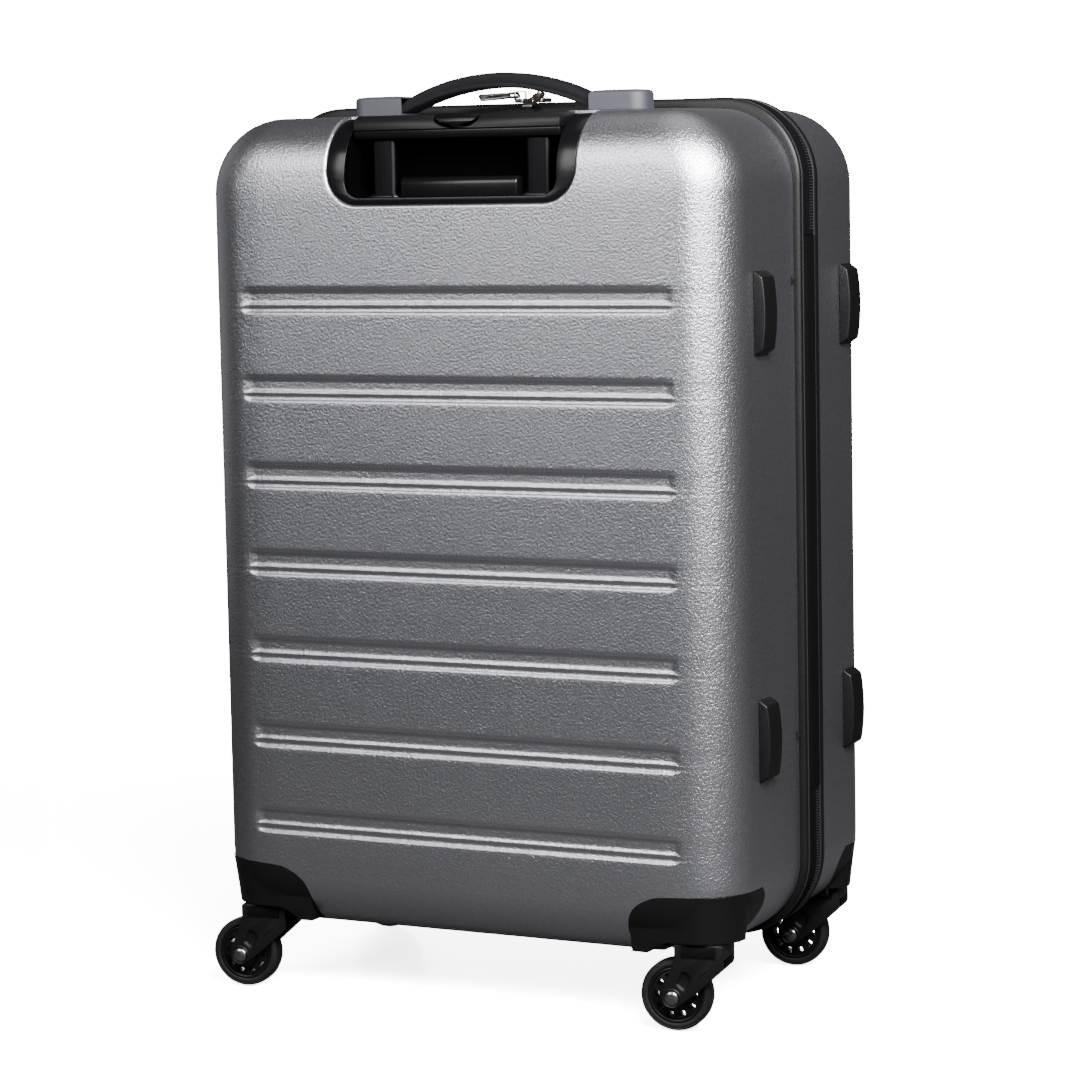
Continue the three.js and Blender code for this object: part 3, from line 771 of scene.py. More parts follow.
HINGE_LOW, HINGE_HIGH = 157.5, 557.5
ZIP_LINE = (box_of("zip_band_rear")[1][1] + box_of("zip_band_front")[0][1]) / 2
BAND_TOP = box_of("zip_band_rear")[1][2]
BAND_RISE = 5  # how far the band stands off the sides of the shells
TOP_RISE = BAND_TOP - CASE_TOP


def case_outline(step=4.0):
    """Points and outward normals round the case from the hinge's upper end to its lower one."""
    points, normals = [], []

    def straight(a, b, normal):
        count = max(int(math.dist(a, b) / step), 1)
        for t in np.linspace(0, 1, count, endpoint=False):
            points.append((a[0] + (b[0] - a[0]) * t, a[1] + (b[1] - a[1]) * t))
            normals.append(normal)

    def corner(cx, cz, begin):
        count = int(CORNER_RADIUS * math.pi / 2 / step) + 1
        for a in np.radians(np.linspace(begin, begin + 90, count, endpoint=False)):
            points.append((cx + CORNER_RADIUS * math.cos(a), cz + CORNER_RADIUS * math.sin(a)))
            normals.append((math.cos(a), math.sin(a)))

    near = HALF_WIDTH - CORNER_RADIUS
    low, high = CASE_BOTTOM + CORNER_RADIUS, CASE_TOP - CORNER_RADIUS
    straight((HALF_WIDTH, HINGE_HIGH), (HALF_WIDTH, high), (1, 0))
    corner(near, high, 0)
    straight((near, CASE_TOP), (-near, CASE_TOP), (0, 1))
    corner(-near, high, 90)
    straight((-HALF_WIDTH, high), (-HALF_WIDTH, low), (-1, 0))
    corner(-near, low, 180)
    straight((-near, CASE_BOTTOM), (near, CASE_BOTTOM), (0, -1))
    corner(near, low, 270)
    straight((HALF_WIDTH, low), (HALF_WIDTH, HINGE_LOW), (1, 0))
    points.append((HALF_WIDTH, HINGE_LOW))
    normals.append((1, 0))
    return np.array(points), np.array(normals)


def band_rise(normals):
    """Height of the band against that at the sides: more over the top of the case."""
    return 1 + (TOP_RISE / BAND_RISE - 1) * np.clip(normals[:, 1], 0, 1)


def around(name, section, material, outline, sharp=35):
    """Carries a section of (y, height over the shell) along an outline of the case."""
    points, normals = outline
    section = np.asarray(section, float)
    stretch = np.where(section[:, 1] > 0, band_rise(normals)[:, None], 1)
    y = np.repeat(section[None, :, 0], len(points), 0)
    sections = np.stack([y, section[:, 1] * stretch], -1)
    path = np.insert(points, 1, 0, axis=1)
    up = np.insert(normals, 1, 0, axis=1)
    across = np.repeat([[0.0, 1.0, 0.0]], len(points), 0)
    return sweep(name, path, across, up, sections, material, sharp=sharp)


def full_outline():
    """The whole way round, with the hinge side in it."""
    points, normals = case_outline()
    extra = [(HALF_WIDTH, z) for z in np.linspace(HINGE_LOW, HINGE_HIGH, 60)[1:]]
    return np.vstack([points, extra]), np.vstack([normals, [(1, 0)] * len(extra)])


def arch_section(y0, y1, base, top, deep, power=2.0, steps=10):
    """A cushion-shaped strip between two edges: (y, height)."""
    mid, half = (y0 + y1) / 2, (y1 - y0) / 2
    upper = []
    for t in np.linspace(-1, 1, steps + 1):
        upper.append((mid + half * t, base + (top - base) * (1 - abs(t) ** power)))
    return upper + [(y1, deep), (y0, deep)]


def teeth(name, side, body):
    """The coil of the zip: rounded teeth across the line, from one side of it."""
    points, normals = case_outline(step=2.0)
    points, normals = points[2:-2], normals[2:-2]
    rise = band_rise(normals)
    verts, faces = [], []
    tangent = unit_rows(np.gradient(points, axis=0))
    reach, half_thick, height = 2.6, 0.55, 0.75
    profile = [(-half_thick, 0), (-half_thick * 0.6, height), (half_thick * 0.6, height),
               (half_thick, 0)]
    inner_y = ZIP_LINE - 0.25 * side
    outer_y = ZIP_LINE + reach * side
    for (px, pz), (nx, nz), (tx, tz), r in zip(points, normals, tangent, rise):
        start = len(verts)
        for y, scale in ((outer_y, 0.7), (inner_y, 1.0)):
            for along, up in profile:
                lift = (BAND_RISE - 0.9) * r + up * scale
                verts.append((px + nx * lift + tx * along, y, pz + nz * lift + tz * along))
        faces += stack_faces(2, len(profile), start)
    piece = tidy(put(name, verts, faces, COIL, 30), 1e-7)
    return ride(piece, body, "strap_fabric")


WELT_WIDTHS = {"rear": 6.2, "front": 9.5}
TAPE_TOP = 4.6


def build_band(side, rim_y, body, node):
    """One half of the zip band: piped welt at the shell's rim, then zip tape up to the line."""
    name = "rear" if side < 0 else "front"
    inner = rim_y - side * WELT_WIDTHS[name]
    low, high = sorted((rim_y - side * 0.15, inner))
    welt = arch_section(low, high, 1.2, 4.75, -4.5, power=3.6)
    ride(around("zip_welt_" + name, welt, SATIN, full_outline(), sharp=50), body,
         "strap_fabric", node)
    cord = [(inner + 0.75 * math.cos(a), 4.1 + 0.75 * math.sin(a))
            for a in np.linspace(0, 2 * math.pi, 9)[:-1]]
    ride(around("zip_piping_" + name, cord, PIPING, full_outline()), body, "strap_fabric")
    edge = ZIP_LINE + side * 0.9
    low, high = sorted((edge, inner - side * 0.5))
    bulge = [(y, TAPE_TOP - 0.7 * abs(y - edge) / (high - low)) for y in np.linspace(low, high, 7)]
    section = bulge + [(high, -4.0), (low, -4.0)]
    ride(around("zip_tape_" + name, section, TAPE, case_outline(), sharp=40), body, "strap_fabric")
    teeth("zip_teeth_" + name, side, body)


def build_hinge():
    """The fabric strip that the case opens on, crowned between the two rims."""
    low, high = box_of("hinge_strip")
    z_values = np.linspace(low[2] + 0.3, high[2] - 0.3, 80)
    inner, outer = REAR_RIM + 6.4, FRONT_RIM - 2.6
    section = arch_section(inner, outer, 3.3, 4.7, -2.6, power=4, steps=12)
    path = [(HALF_WIDTH, 0, z) for z in z_values]
    up = [(1, 0, 0)] * len(path)
    across = [(0, 1, 0)] * len(path)
    strip = sweep("hinge_cloth", path, across, up, section, TAPE, sharp=40)
    ride(strip, "hinge_strip", "strap_fabric", "hinge_strip")


build_band(-1, REAR_RIM, "rear_case", "zip_band_rear")
build_band(1, FRONT_RIM, "front_case", "zip_band_front")
build_hinge()

# ---------------------------------------------------------------- pull handle

SUNK = 1.5  # how far the bezel lies below the shell's surface
PAINTED_SHADE_FROM = -123  # y behind which the bezel's inside is painted as shade: darker and without reflections
TUBE_HOLE = (11.4, 7.4)  # half sizes of the openings round the outer tubes


def pipe(name, outer, inner, low, high, material):
    """A straight tube along z from its outer and inner outlines, which have as many points."""
    walls = ((outer, low), (outer, high), (inner, high), (inner, low))
    verts = [(x, y, z) for ring, z in walls for x, y in ring]
    faces = grid_faces(len(walls), len(outer), close_rows=True, close_columns=True)
    return tidy(put(name, verts, faces, material, 40), 1e-7)


def tube_outline(half_x, half_y, inset, centre_x):
    """A tube's outline seen from above, moved inwards by the inset."""
    return [(centre_x + x, TUBE_Y + y) for x, y in
            rounded(-half_x + inset, half_x - inset, -half_y + inset, half_y - inset,
                    4 - inset, 6)]


TUBE_X = 62
TUBE_Y = -110
TUBE_WALL = 1.2


def build_tubes():
    """Three tubes a side, each in the next."""
    stages = (("middle_tube", "trolley_middle"), ("inner_tube", "trolley_grip"),
              ("outer_tube", "rear_case"))
    for stage, body in stages:
        for side, label in SIDES:
            node = stage + "_" + label
            low, high = box_of(node)
            half_x, half_y = (high[0] - low[0]) / 2, (high[1] - low[1]) / 2
            outer = tube_outline(half_x, half_y, 0, side * TUBE_X)
            inner = tube_outline(half_x, half_y, TUBE_WALL, side * TUBE_X)
            tube = pipe(node + "_sleeve", outer, inner, low[2], high[2], ALUMINIUM)
            ride(tube, body, "tube_aluminium", node)


def build_tray():
    """The pull handle's bezel, which follows the shell's edge, with its recess painted darker as
    shade.
    """
    rise = np.sin(np.linspace(0, math.pi / 2, 24))
    turn = []
    for z in FACE_HIGH - CROWN_WIDTH + (EDGE_RADIUS + CROWN_WIDTH) * rise:
        point, normal = surface_point(0, z)
        if point[1] < NOTCH_BACK - 1:
            turn.append(tuple((point - SUNK * normal)[1:]))
    top = turn[-1][1]
    profile = [(turn[0][0], 560)] + turn + [(NOTCH_BACK, top), (NOTCH_BACK, 560)]
    tray = prism("trolley_bezel", profile, -120, 120, "X", GLOSS)
    boolean(tray, prism("outer", notch_outline(-0.15), -200, 0, "Y", None), "INTERSECT")
    floor, half = NOTCH_BOTTOM + 5, 85
    hole = u_shape(half, floor, 12, 700, 10)
    boolean(tray, prism("hole", hole, -200, NOTCH_BACK - 3, "Y", None))
    for side in (-1, 1):
        opening = tube_outline(*TUBE_HOLE, -0.5, side * TUBE_X)
        boolean(tray, prism("tube_hole", opening, 550, 610, "Z", None))
    soften(tray, 0.9, 3, 50, 40)
    # The faces inside the recess get the darker, unreflecting material: painted shade on the same
    # black moulding.
    tray.data.materials.append(PAINTED_SHADE)
    for face in tray.data.polygons:
        x, y, z = np.array(face.center) / MM - MIDDLE
        if abs(x) < half + 0.2 and z > floor - 0.2 and y > PAINTED_SHADE_FROM:
            face.material_index = len(tray.data.materials) - 1
    ride(tray, "rear_case", "black_plastic", "trolley_tray")
    near, far, base, top, half = -118, -92, 588.5, 603.5, 47
    profile = [(near, base)] + arc(near + 5, top - 5, 5, 180, 90, 6) + [(far, top), (far, base)]
    lump = soften(prism("bezel_block", profile, -half, half, "X", GLOSS), 1.6, 3, 40, 40)
    ride(lump, "rear_case", "black_plastic")
    for side, label in SIDES:
        collar = pipe("bezel_collar_" + label,
                      tube_outline(*TUBE_HOLE, -2.6, side * TUBE_X),
                      tube_outline(*TUBE_HOLE, -0.5, side * TUBE_X),
                      floor - 0.4, floor + 1.2, GLOSS)
        ride(soften(collar, 0.3, 2, 40), "rear_case", "black_plastic")


GRIP_LOW = box_of("grip_lower")[0]
GRIP_HIGH = box_of("grip_upper")[1]
GRIP_SPLIT = box_of("grip_lower")[1][2]
BUTTON_HALF = 18
BUTTON_TRAVEL = 2.5


def grip_profile(low, high, top_radius, bottom_radius):
    """The grip seen from its end: flat at the back, round at the front."""
    front, back = GRIP_LOW[1], GRIP_HIGH[1]
    return (
        [(back, low), (back, high)]
        + arc(front + top_radius, high - top_radius, top_radius, 90, 180, 12)
        + arc(front + bottom_radius, low + bottom_radius, bottom_radius, 180, 270, 8)
    )


def half_ellipse(half, height, top, above):
    """The button's outline: a half ellipse that hangs from top, open above it."""
    return [(half * math.cos(a), top + height * math.sin(a))
            for a in np.linspace(math.pi, 2 * math.pi, 33)] + [(half, above), (-half, above)]


def build_grip():
    top, half = GRIP_HIGH[2], GRIP_HIGH[0]
    upper = prism("grip_top", grip_profile(GRIP_SPLIT + 0.35, top, 8, 0.35), -half, half, "X",
                  SATIN)
    face = half_ellipse(BUTTON_HALF + 0.35, 7.6, top - 0.2 - BUTTON_TRAVEL, top + 5)
    boolean(upper, prism("button_hole", face, -130, -101, "Y", None))
    ride(soften(upper, 0.7, 3, 40, 40), "trolley_grip", "black_plastic", "grip_upper")
    lower = prism("grip_base", grip_profile(GRIP_LOW[2], GRIP_SPLIT, 1.0, 4), -half, half, "X",
                  GLOSS)
    ride(soften(lower, 0.7, 3, 40, 40), "trolley_grip", "black_plastic", "grip_lower")
    face = half_ellipse(BUTTON_HALF, 7.3, top - 0.1, top + 5)
    button = prism("button_cap", face, -119.8, -101.5, "Y", GLOSS)
    shell = prism("rounded", grip_profile(620, top + 0.55, 7.6, 0.5), -30, 30, "X", None)
    boolean(button, shell, "INTERSECT")
    ride(soften(button, 0.45, 3, 40, 40), "release", "black_plastic", "push_button")


build_tubes()
build_tray()
build_grip()

# ---------------------------------------------------------------- carry handles

CAP_INNER, HANDLE_HALF = 76.5, 119
STRAP_HALF = CAP_INNER - 0.6
HANDLE_Y = -47


def handle_cap(name, side):
    """An end cap: domed, round at its outer end and open towards the strap."""
    outline = (
        [(CAP_INNER, y) for y in np.linspace(14, -14, 9)]
        + arc(HANDLE_HALF - 11, -3, 11, -90, 0, 10)
        + arc(HANDLE_HALF - 11, 3, 11, 0, 90, 10)
    )
    outline = np.array(outline) * (side, 1)
    centre = np.array([side * (CAP_INNER + HANDLE_HALF) / 2, 0])
    half = np.array([(HANDLE_HALF - CAP_INNER) / 2, 14])
    levels = [(0.5, 0), (0, 0.7), (0, 10.6), (0.35, 12.2), (1.2, 13.4), (2.6, 14.1),
              (5.5, 14.45), (9.5, 14.7)]
    verts = []
    for inset, z in levels:
        ring = centre + (outline - centre) * (1 - inset / half)
        verts += [(x, y, z) for x, y in ring]
    cap = tidy(put(name, verts, stack_faces(len(levels), len(outline)), CAPS, 40), 1e-7)
    ends = sorted((side * (CAP_INNER - 3), side * (HANDLE_HALF - 7)))
    return boolean(cap, block("mouth", (ends[0], -12.5, 1.8), (ends[1], 12.5, 12.9)))


def handle_strap(name, arch):
    """A padded strap: a thick arch with a piped lower edge, thin where its ends enter the caps."""
    tongue, tongue_low, tongue_high = HANDLE_HALF - 12, 2, 5.6
    stations = [(-tongue, tongue_low, tongue_high), (-STRAP_HALF - 1.6, tongue_low, tongue_high)]
    for x in np.linspace(-STRAP_HALF, STRAP_HALF, 61):
        swell = 1 - (x / STRAP_HALF) ** 2
        soft = 1 - abs(x / STRAP_HALF) ** 9
        stations.append((x, 2 + (arch - 13) * swell, 12 + (arch - 12) * swell - 1.2 * (1 - soft)))
    stations += [(-x, low, high) for x, low, high in stations[1::-1]]
    path, sections = [], []
    for x, low, high in stations:
        thick = high - low
        s = min(1.0, thick / 8)
        right = [(9.5, low), (11.5, low + 0.35 * s), (12, low + 1.1 * s), (12, low + 2.2 * s),
                 (11.4, low + 2.8 * s), (11.2, low + 3.3 * s), (11.6, low + 3.9 * s),
                 (11.6, high - 2.6 * s), (10.7, high - 1.2 * s), (8.6, high - 0.35 * s),
                 (5, high), (0, high)]
        left = [(-y, z) for y, z in reversed(right[:-1])]
        path.append((x, 0, 0))
        sections.append([(0, low)] + right + left)
    count = len(path)
    return sweep(name, path, [(0, 1, 0)] * count, [(0, 0, 1)] * count, sections, WEBBING, sharp=50)


def build_handle(prefix, ends, arch, matrix, body):
    """A carry handle, made lying along x and put in its place by the matrix."""
    for side, end in zip((-1, 1), ends):
        node = prefix + "_cap_" + end
        cap = moved(handle_cap(node + "_shell", side), matrix)
        ride(cap, "rear_case", "cap_grey", node)
    strap = moved(handle_strap(prefix + "_webbing", arch), matrix)
    ride(strap, body, "strap_fabric", prefix + "_strap")


HANDLE_GAP = 0.3  # between a handle and the shell
TOP_ARCH = box_of("top_handle_strap")[1][2] - CASE_TOP - HANDLE_GAP
SIDE_ARCH = -HALF_WIDTH - HANDLE_GAP - box_of("side_handle_strap")[0][0]
build_handle("top_handle", ("left", "right"), TOP_ARCH,
             shift(0, HANDLE_Y, CASE_TOP + HANDLE_GAP), "top_strap")
build_handle("side_handle", ("lower", "upper"), SIDE_ARCH,
             shift(-HALF_WIDTH - HANDLE_GAP, HANDLE_Y, (CASE_BOTTOM + CASE_TOP) / 2)
             @ Matrix.Rotation(-math.pi / 2, 4, "Y"), "side_strap")

# ---------------------------------------------------------------- side feet


def build_feet():
    for half, body in (("rear", "rear_case"), ("front", "front_case")):
        for level in ("upper", "lower"):
            node = "side_foot_%s_%s" % (half, level)
            low, high = box_of(node)
            face = [(high[0] - 2.2 * t**2, (low[2] + high[2]) / 2 + t * 25.5)
                    for t in np.linspace(-1, 1, 13)]
            outline = [(low[0] - 0.2, low[2])] + face + [(low[0] - 0.2, high[2])]
            foot = prism(node + "_block", outline, low[1], high[1], "Y", SATIN)
            ride(soften(foot, 1.3, 4, 30, 40), body, "black_plastic", node)


build_feet()

# ---------------------------------------------------------------- caster housings

NECK_ROOM = 25
TAPER_TOP = 102


def tapered_corner():
    """A block with a round outer corner that narrows towards the floor, rear right corner."""
    outline = (
        [(131, -79), (131, -131.5)]
        + arc(176.5, -97.5, 34, -90, 0, 16)
        + [(207.5, -91), (202, -85), (195, -79)]
    )
    levels = 14
    verts = []
    for z in np.linspace(57, TAPER_TOP, levels):
        fall = (TAPER_TOP - z) / 47
        fall = 0.55 * fall + 0.45 * fall**0.6
        for x, y in outline:
            inward_x = 6 * max(x - 150, 0) / 60 * fall
            inward_y = 5 * min(y + 80, 0) / 52 * fall
            verts.append((x - inward_x, y - inward_y, z))
    return tidy(put("corner", verts, stack_faces(levels, len(outline)), SATIN), 1e-7)


def build_housings():
    """The four boots: one is made for the rear right corner and mirrored to the others."""
    verts, faces = shell_surface(REAR_FACE, REAR_RIM, [])
    boot = tidy(put("boot", verts, faces, SATIN), 1e-7)
    boolean(boot, tapered_corner(), "UNION")
    boolean(boot, boot_region(1, -1, 0), "INTERSECT")
    arch = [(CASTER_X - inward, z) for inward, z in
            smooth_curve([(36, 50), (34.5, 57.5), (31, 60.8), (26, 63.4), (20, FORK_ROOM)], 6)]
    room = [(CASTER_X - 36, 0)] + arch + [(300, FORK_ROOM), (300, 0)]
    boolean(boot, prism("room", room, -300, -CASTER_Y + NECK_ROOM, "Y", None))
    boolean(boot, swivel_room(1, -1))
    boolean(boot, block("hollow", (136, -119, 70), (193, -83, 90)))
    hole = arc(CASTER_X, -CASTER_Y, 5.6, 0, 345, 23)
    boolean(boot, prism("pin_hole", hole, 60, 85, "Z", None))
    soften(boot, 0.8, 3, 48, 42)
    for side_x, side_y, end in ((1, -1, "rear_right"), (-1, -1, "rear_left"),
                                (1, 1, "front_right"), (-1, 1, "front_left")):
        node = "caster_housing_" + end
        twin = copy_of(boot, node + "_boot")
        moved(twin, Matrix.Diagonal((side_x, -side_y, 1, 1)))
        ride(twin, "rear_case" if side_y < 0 else "front_case", "black_plastic", node)
    bpy.data.objects.remove(boot)


build_housings()

# ---------------------------------------------------------------- casters

TRAIL = 19
WHEEL_RADIUS = 26
CASTER_YAW = math.radians(8.6)


def arm_outline():
    """An arm of the fork seen from its side: it leans back to the axle."""
    boss = arc(-TRAIL, WHEEL_RADIUS, 7.8, 195, 318, 10)
    return (
        [(-17, 64.6), (-17, 56)]
        + smooth_curve([(-18.4, 50), (-22.5, 40), (-26.8, 30)], 6)
        + boss
        + [(-5.5, 26.6), (2.5, 33.2), (17.6, 46.8), (18.5, 48.6), (18.5, 64.6)]
    )


def caster_fork():
    """The swivelling fork: neck, two arms with a recess and a rib, and the king pin."""
    pieces = []
    recess = smooth_curve([(-15.3, 36.2), (-13.4, 40.8), (-10.9, 44.9), (-7.6, 44), (-4.9, 41),
                           (-6.6, 36.6), (-9.6, 32.2), (-12.4, 33.4), (-15.3, 36.2)], 4)[:-1]
    for side in (-1, 1):
        near, far = sorted((side * 12.8, side * 16.5))
        arm = prism("arm", arm_outline(), near, far, "Y", SATIN)
        near, far = sorted((side * 14.4, side * 18))
        boolean(arm, prism("recess", recess, near, far, "Y", None))
        hole = arc(-TRAIL, WHEEL_RADIUS, 3.3, 0, 345, 23)
        boolean(arm, prism("axle_hole", hole, -20, 20, "Y", None))
        pieces.append(soften(arm, 0.7, 3, 40, 40))
        rib = [(1.0, 43.1), (1.8, 42.3), (8.3, 48.3), (7.5, 49.1)]
        near, far = sorted((side * 16.3, side * 17))
        pieces.append(soften(prism("rib", rib, near, far, "Y", SATIN), 0.2, 2, 30))
        ring = [(5.9, 16.1), (6.9, 16.1), (6.9, 16.9), (6.5, 17.2), (5.9, 16.9)]
        boss = lathe("boss", [(r, side * y) for r, y in ring], SATIN, 48)
        pieces.append(moved(boss, shift(-TRAIL, 0, WHEEL_RADIUS)))
    neck = prism("neck", rounded(-17, 18.5, -16.5, 16.5, 5, 8), 53.6, 65.1, "Z", SATIN)
    pieces.append(soften(neck, 1.2, 3, 40, 40))
    pin = [(0.01, 64), (5, 64), (5, 81.4), (4.4, 82), (0.01, 82)]
    turned = lathe("pin", pin, SATIN, 32)
    pieces.append(moved(turned, Matrix.Rotation(math.pi / 2, 4, "X")))
    return join("fork", pieces)


def wheel_tyre():
    w, r = 7.5, WHEEL_RADIUS
    half = [(20.2, w - 0.6), (20.8, w), (23.2, w), (23.6, w - 0.35), (24.0, w - 0.05),
            (24.7, w - 0.5), (25.5, w - 1.8), (25.9, w - 3.4), (r, w - 5.2)]
    profile = [(r_, -y) for r_, y in half] + [(r_, y) for r_, y in reversed(half)]
    return lathe("tyre", profile, RUBBER, 96, 50)


def wheel_hub():
    half = [(3.4, 12.3), (9.6, 12.3), (10.4, 11.7), (10.8, 7.2), (11.4, 6.4), (17.0, 6.0), (17.8, 5.4),
            (18.2, 6.4), (19.0, 6.8), (20.1, 6.2)]
    profile = [(r, -y) for r, y in half] + [(r, y) for r, y in reversed(half)]
    hub = lathe("hub", profile, HUB, 96, 35)
    verts, faces = [], []
    window = rounded(12.0, 16.0, -1, 1, 0.6, 3)
    for turn in range(10):
        angle = math.radians(36 * turn)
        start = len(verts)
        for y in (-14, 14):
            for r, across in window:
                wide = across * (2.2 + (r - 11) * 0.16)
                verts.append((r * math.cos(angle) - wide * math.sin(angle), y,
                              r * math.sin(angle) + wide * math.cos(angle)))
        faces += stack_faces(2, len(window), start)
    boolean(hub, tidy(put("windows", verts, faces, None), 1e-7))
    return soften(hub, 0.3, 2, 45, 40)


def wheel_axle():
    dome = [(5.2 * math.sin(a), 16.9 + 2.0 * math.cos(a)) for a in np.linspace(0.06, 1.57, 12)]
    profile = [(3, 16.8), (5.0, 16.8)] + dome[::-1]
    full = profile + [(r, -y) for r, y in reversed(profile)]
    return lathe("axle", full, STEEL, 48, 50)


def build_casters():
    fork, tyre, hub, axle = caster_fork(), wheel_tyre(), wheel_hub(), wheel_axle()
    for part in (tyre, hub, axle):
        moved(part, shift(-TRAIL, 0, WHEEL_RADIUS))
    for end, side_x, side_y in (("rear_left", -1, -1), ("rear_right", 1, -1),
                                ("front_left", -1, 1), ("front_right", 1, 1)):
        place = shift(side_x * CASTER_X, side_y * CASTER_Y, 0) @ Matrix.Rotation(
            CASTER_YAW, 4, "Z")
        for source, part, body, slot in (
            (fork, "fork", "caster_" + end, "black_plastic"),
            (axle, "axle", "caster_" + end, "steel_pin"),
            (tyre, "tyre", "wheel_" + end, "tyre_rubber"),
            (hub, "hub", "wheel_" + end, "hub_plastic"),
        ):
            node = "caster_%s_%s" % (end, part)
            ride(moved(copy_of(source, node + "_form"), place), body, slot, node)
    for part in (fork, tyre, hub, axle):
        bpy.data.objects.remove(part)


build_casters()

# ---------------------------------------------------------------- zip sliders

SLIDERS = {"left": (-13, -50, 4, 26), "right": (3, 6, 18, 0)}  # along x, yaw, droop, roll
SLIDER_Y = 10
EYE_BACK = -2.5  # from a slider's centre to the axis of its pull
SLIDER_BASE = box_of("zip_slider_left")[0][2]


def slider_body():
    """The waisted plate of a slider."""
    outline = smooth_curve([(-5.4, 6.6), (-5.5, 1), (-3.4, -5.4), (0, -6), (3.4, -5.4), (5.5, 1),
                            (5.4, 6.6), (0, 7.4), (-5.4, 6.6)], 6)[:-1]
    return soften(prism("plate", outline, 0, 3.2, "Z", NICKEL), 0.6, 3, 40)


def slider_bridge():
    """The bridge on a slider that holds its pull."""
    outer = [(-6, 2)] + arc(-4, 7.2, 2, 180, 90, 5) + arc(1.6, 7.2, 2, 90, 0, 5) + [(3.6, 2)]
    bridge = prism("bridge", outer, -1.3, 1.3, "X", NICKEL)
    inner = [(-4.8, 3.2)] + arc(-3.6, 6.8, 1.2, 180, 90, 4) + arc(1.2, 6.8, 1.2, 90, 0, 4) \
        + [(2.4, 3.2)]
    boolean(bridge, prism("loop", inner, -9, 9, "X", None))
    return soften(bridge, 0.35, 2, 40)


def slider_pull():
    """A pull: a plate with a long slot, and an eye for the bridge at its top."""
    outline = (
        arc(-2.6, -28.1, 1.9, 180, 270, 5) + arc(2.6, -28.1, 1.9, 270, 360, 5)
        + [(4.3, -12), (3.3, -8.2), (4.2, -5)] + arc(3.0, -0.4, 1.2, 0, 90, 3)
        + arc(-3.0, -0.4, 1.2, 90, 180, 3) + [(-4.2, -5), (-3.3, -8.2), (-4.3, -12)]
    )
    plate = prism("pull", outline, -0.9, 0.9, "Z", NICKEL)
    boolean(plate, prism("slot", rounded(-1.6, 1.6, -22, -13.5, 1.3), -3, 3, "Z", None))
    boolean(plate, prism("eye", rounded(-2.6, 2.6, -6.4, -1.0, 0.8), -3, 3, "Z", None))
    return soften(plate, 0.3, 2, 40)


def build_sliders():
    for name, (x, yaw, droop, roll) in SLIDERS.items():
        turn = math.radians(yaw)
        seat = shift(x, SLIDER_Y, SLIDER_BASE)
        bridge = moved(slider_bridge(), seat @ Matrix.Rotation(turn, 4, "Z"))
        whole = join("zip_slider_%s_body" % name, [moved(slider_body(), seat), bridge])
        ride(whole, "zip_slider_" + name, "nickel_zip", "zip_slider_" + name)
        pull = slider_pull()
        place = shift(x - EYE_BACK * math.sin(turn), SLIDER_Y + EYE_BACK * math.cos(turn),
                      SLIDER_BASE + 6)
        spin = Matrix.Rotation(turn, 4, "Z") @ Matrix.Rotation(math.radians(droop), 4, "X")
        spin = spin @ Matrix.Rotation(math.radians(roll), 4, "Y")
        moved(pull, place @ spin)
        pull.name = "zip_pull_%s_plate" % name
        for item in (whole, pull):
            item.data.materials.clear()
            item.data.materials.append(NICKEL if name == "left" else BRONZE)
        ride(pull, "zip_pull_" + name, "nickel_zip", "zip_pull_" + name)


build_sliders()

# ---------------------------------------------------------------- inside

RIDGE_HALF, RIDGE_Y = 104, -88
WELL_X, WELL_Y, WELL_TOP = 127, 76, 104
LINING_INSET = 3.9
CLOTH = 0.7  # thickness


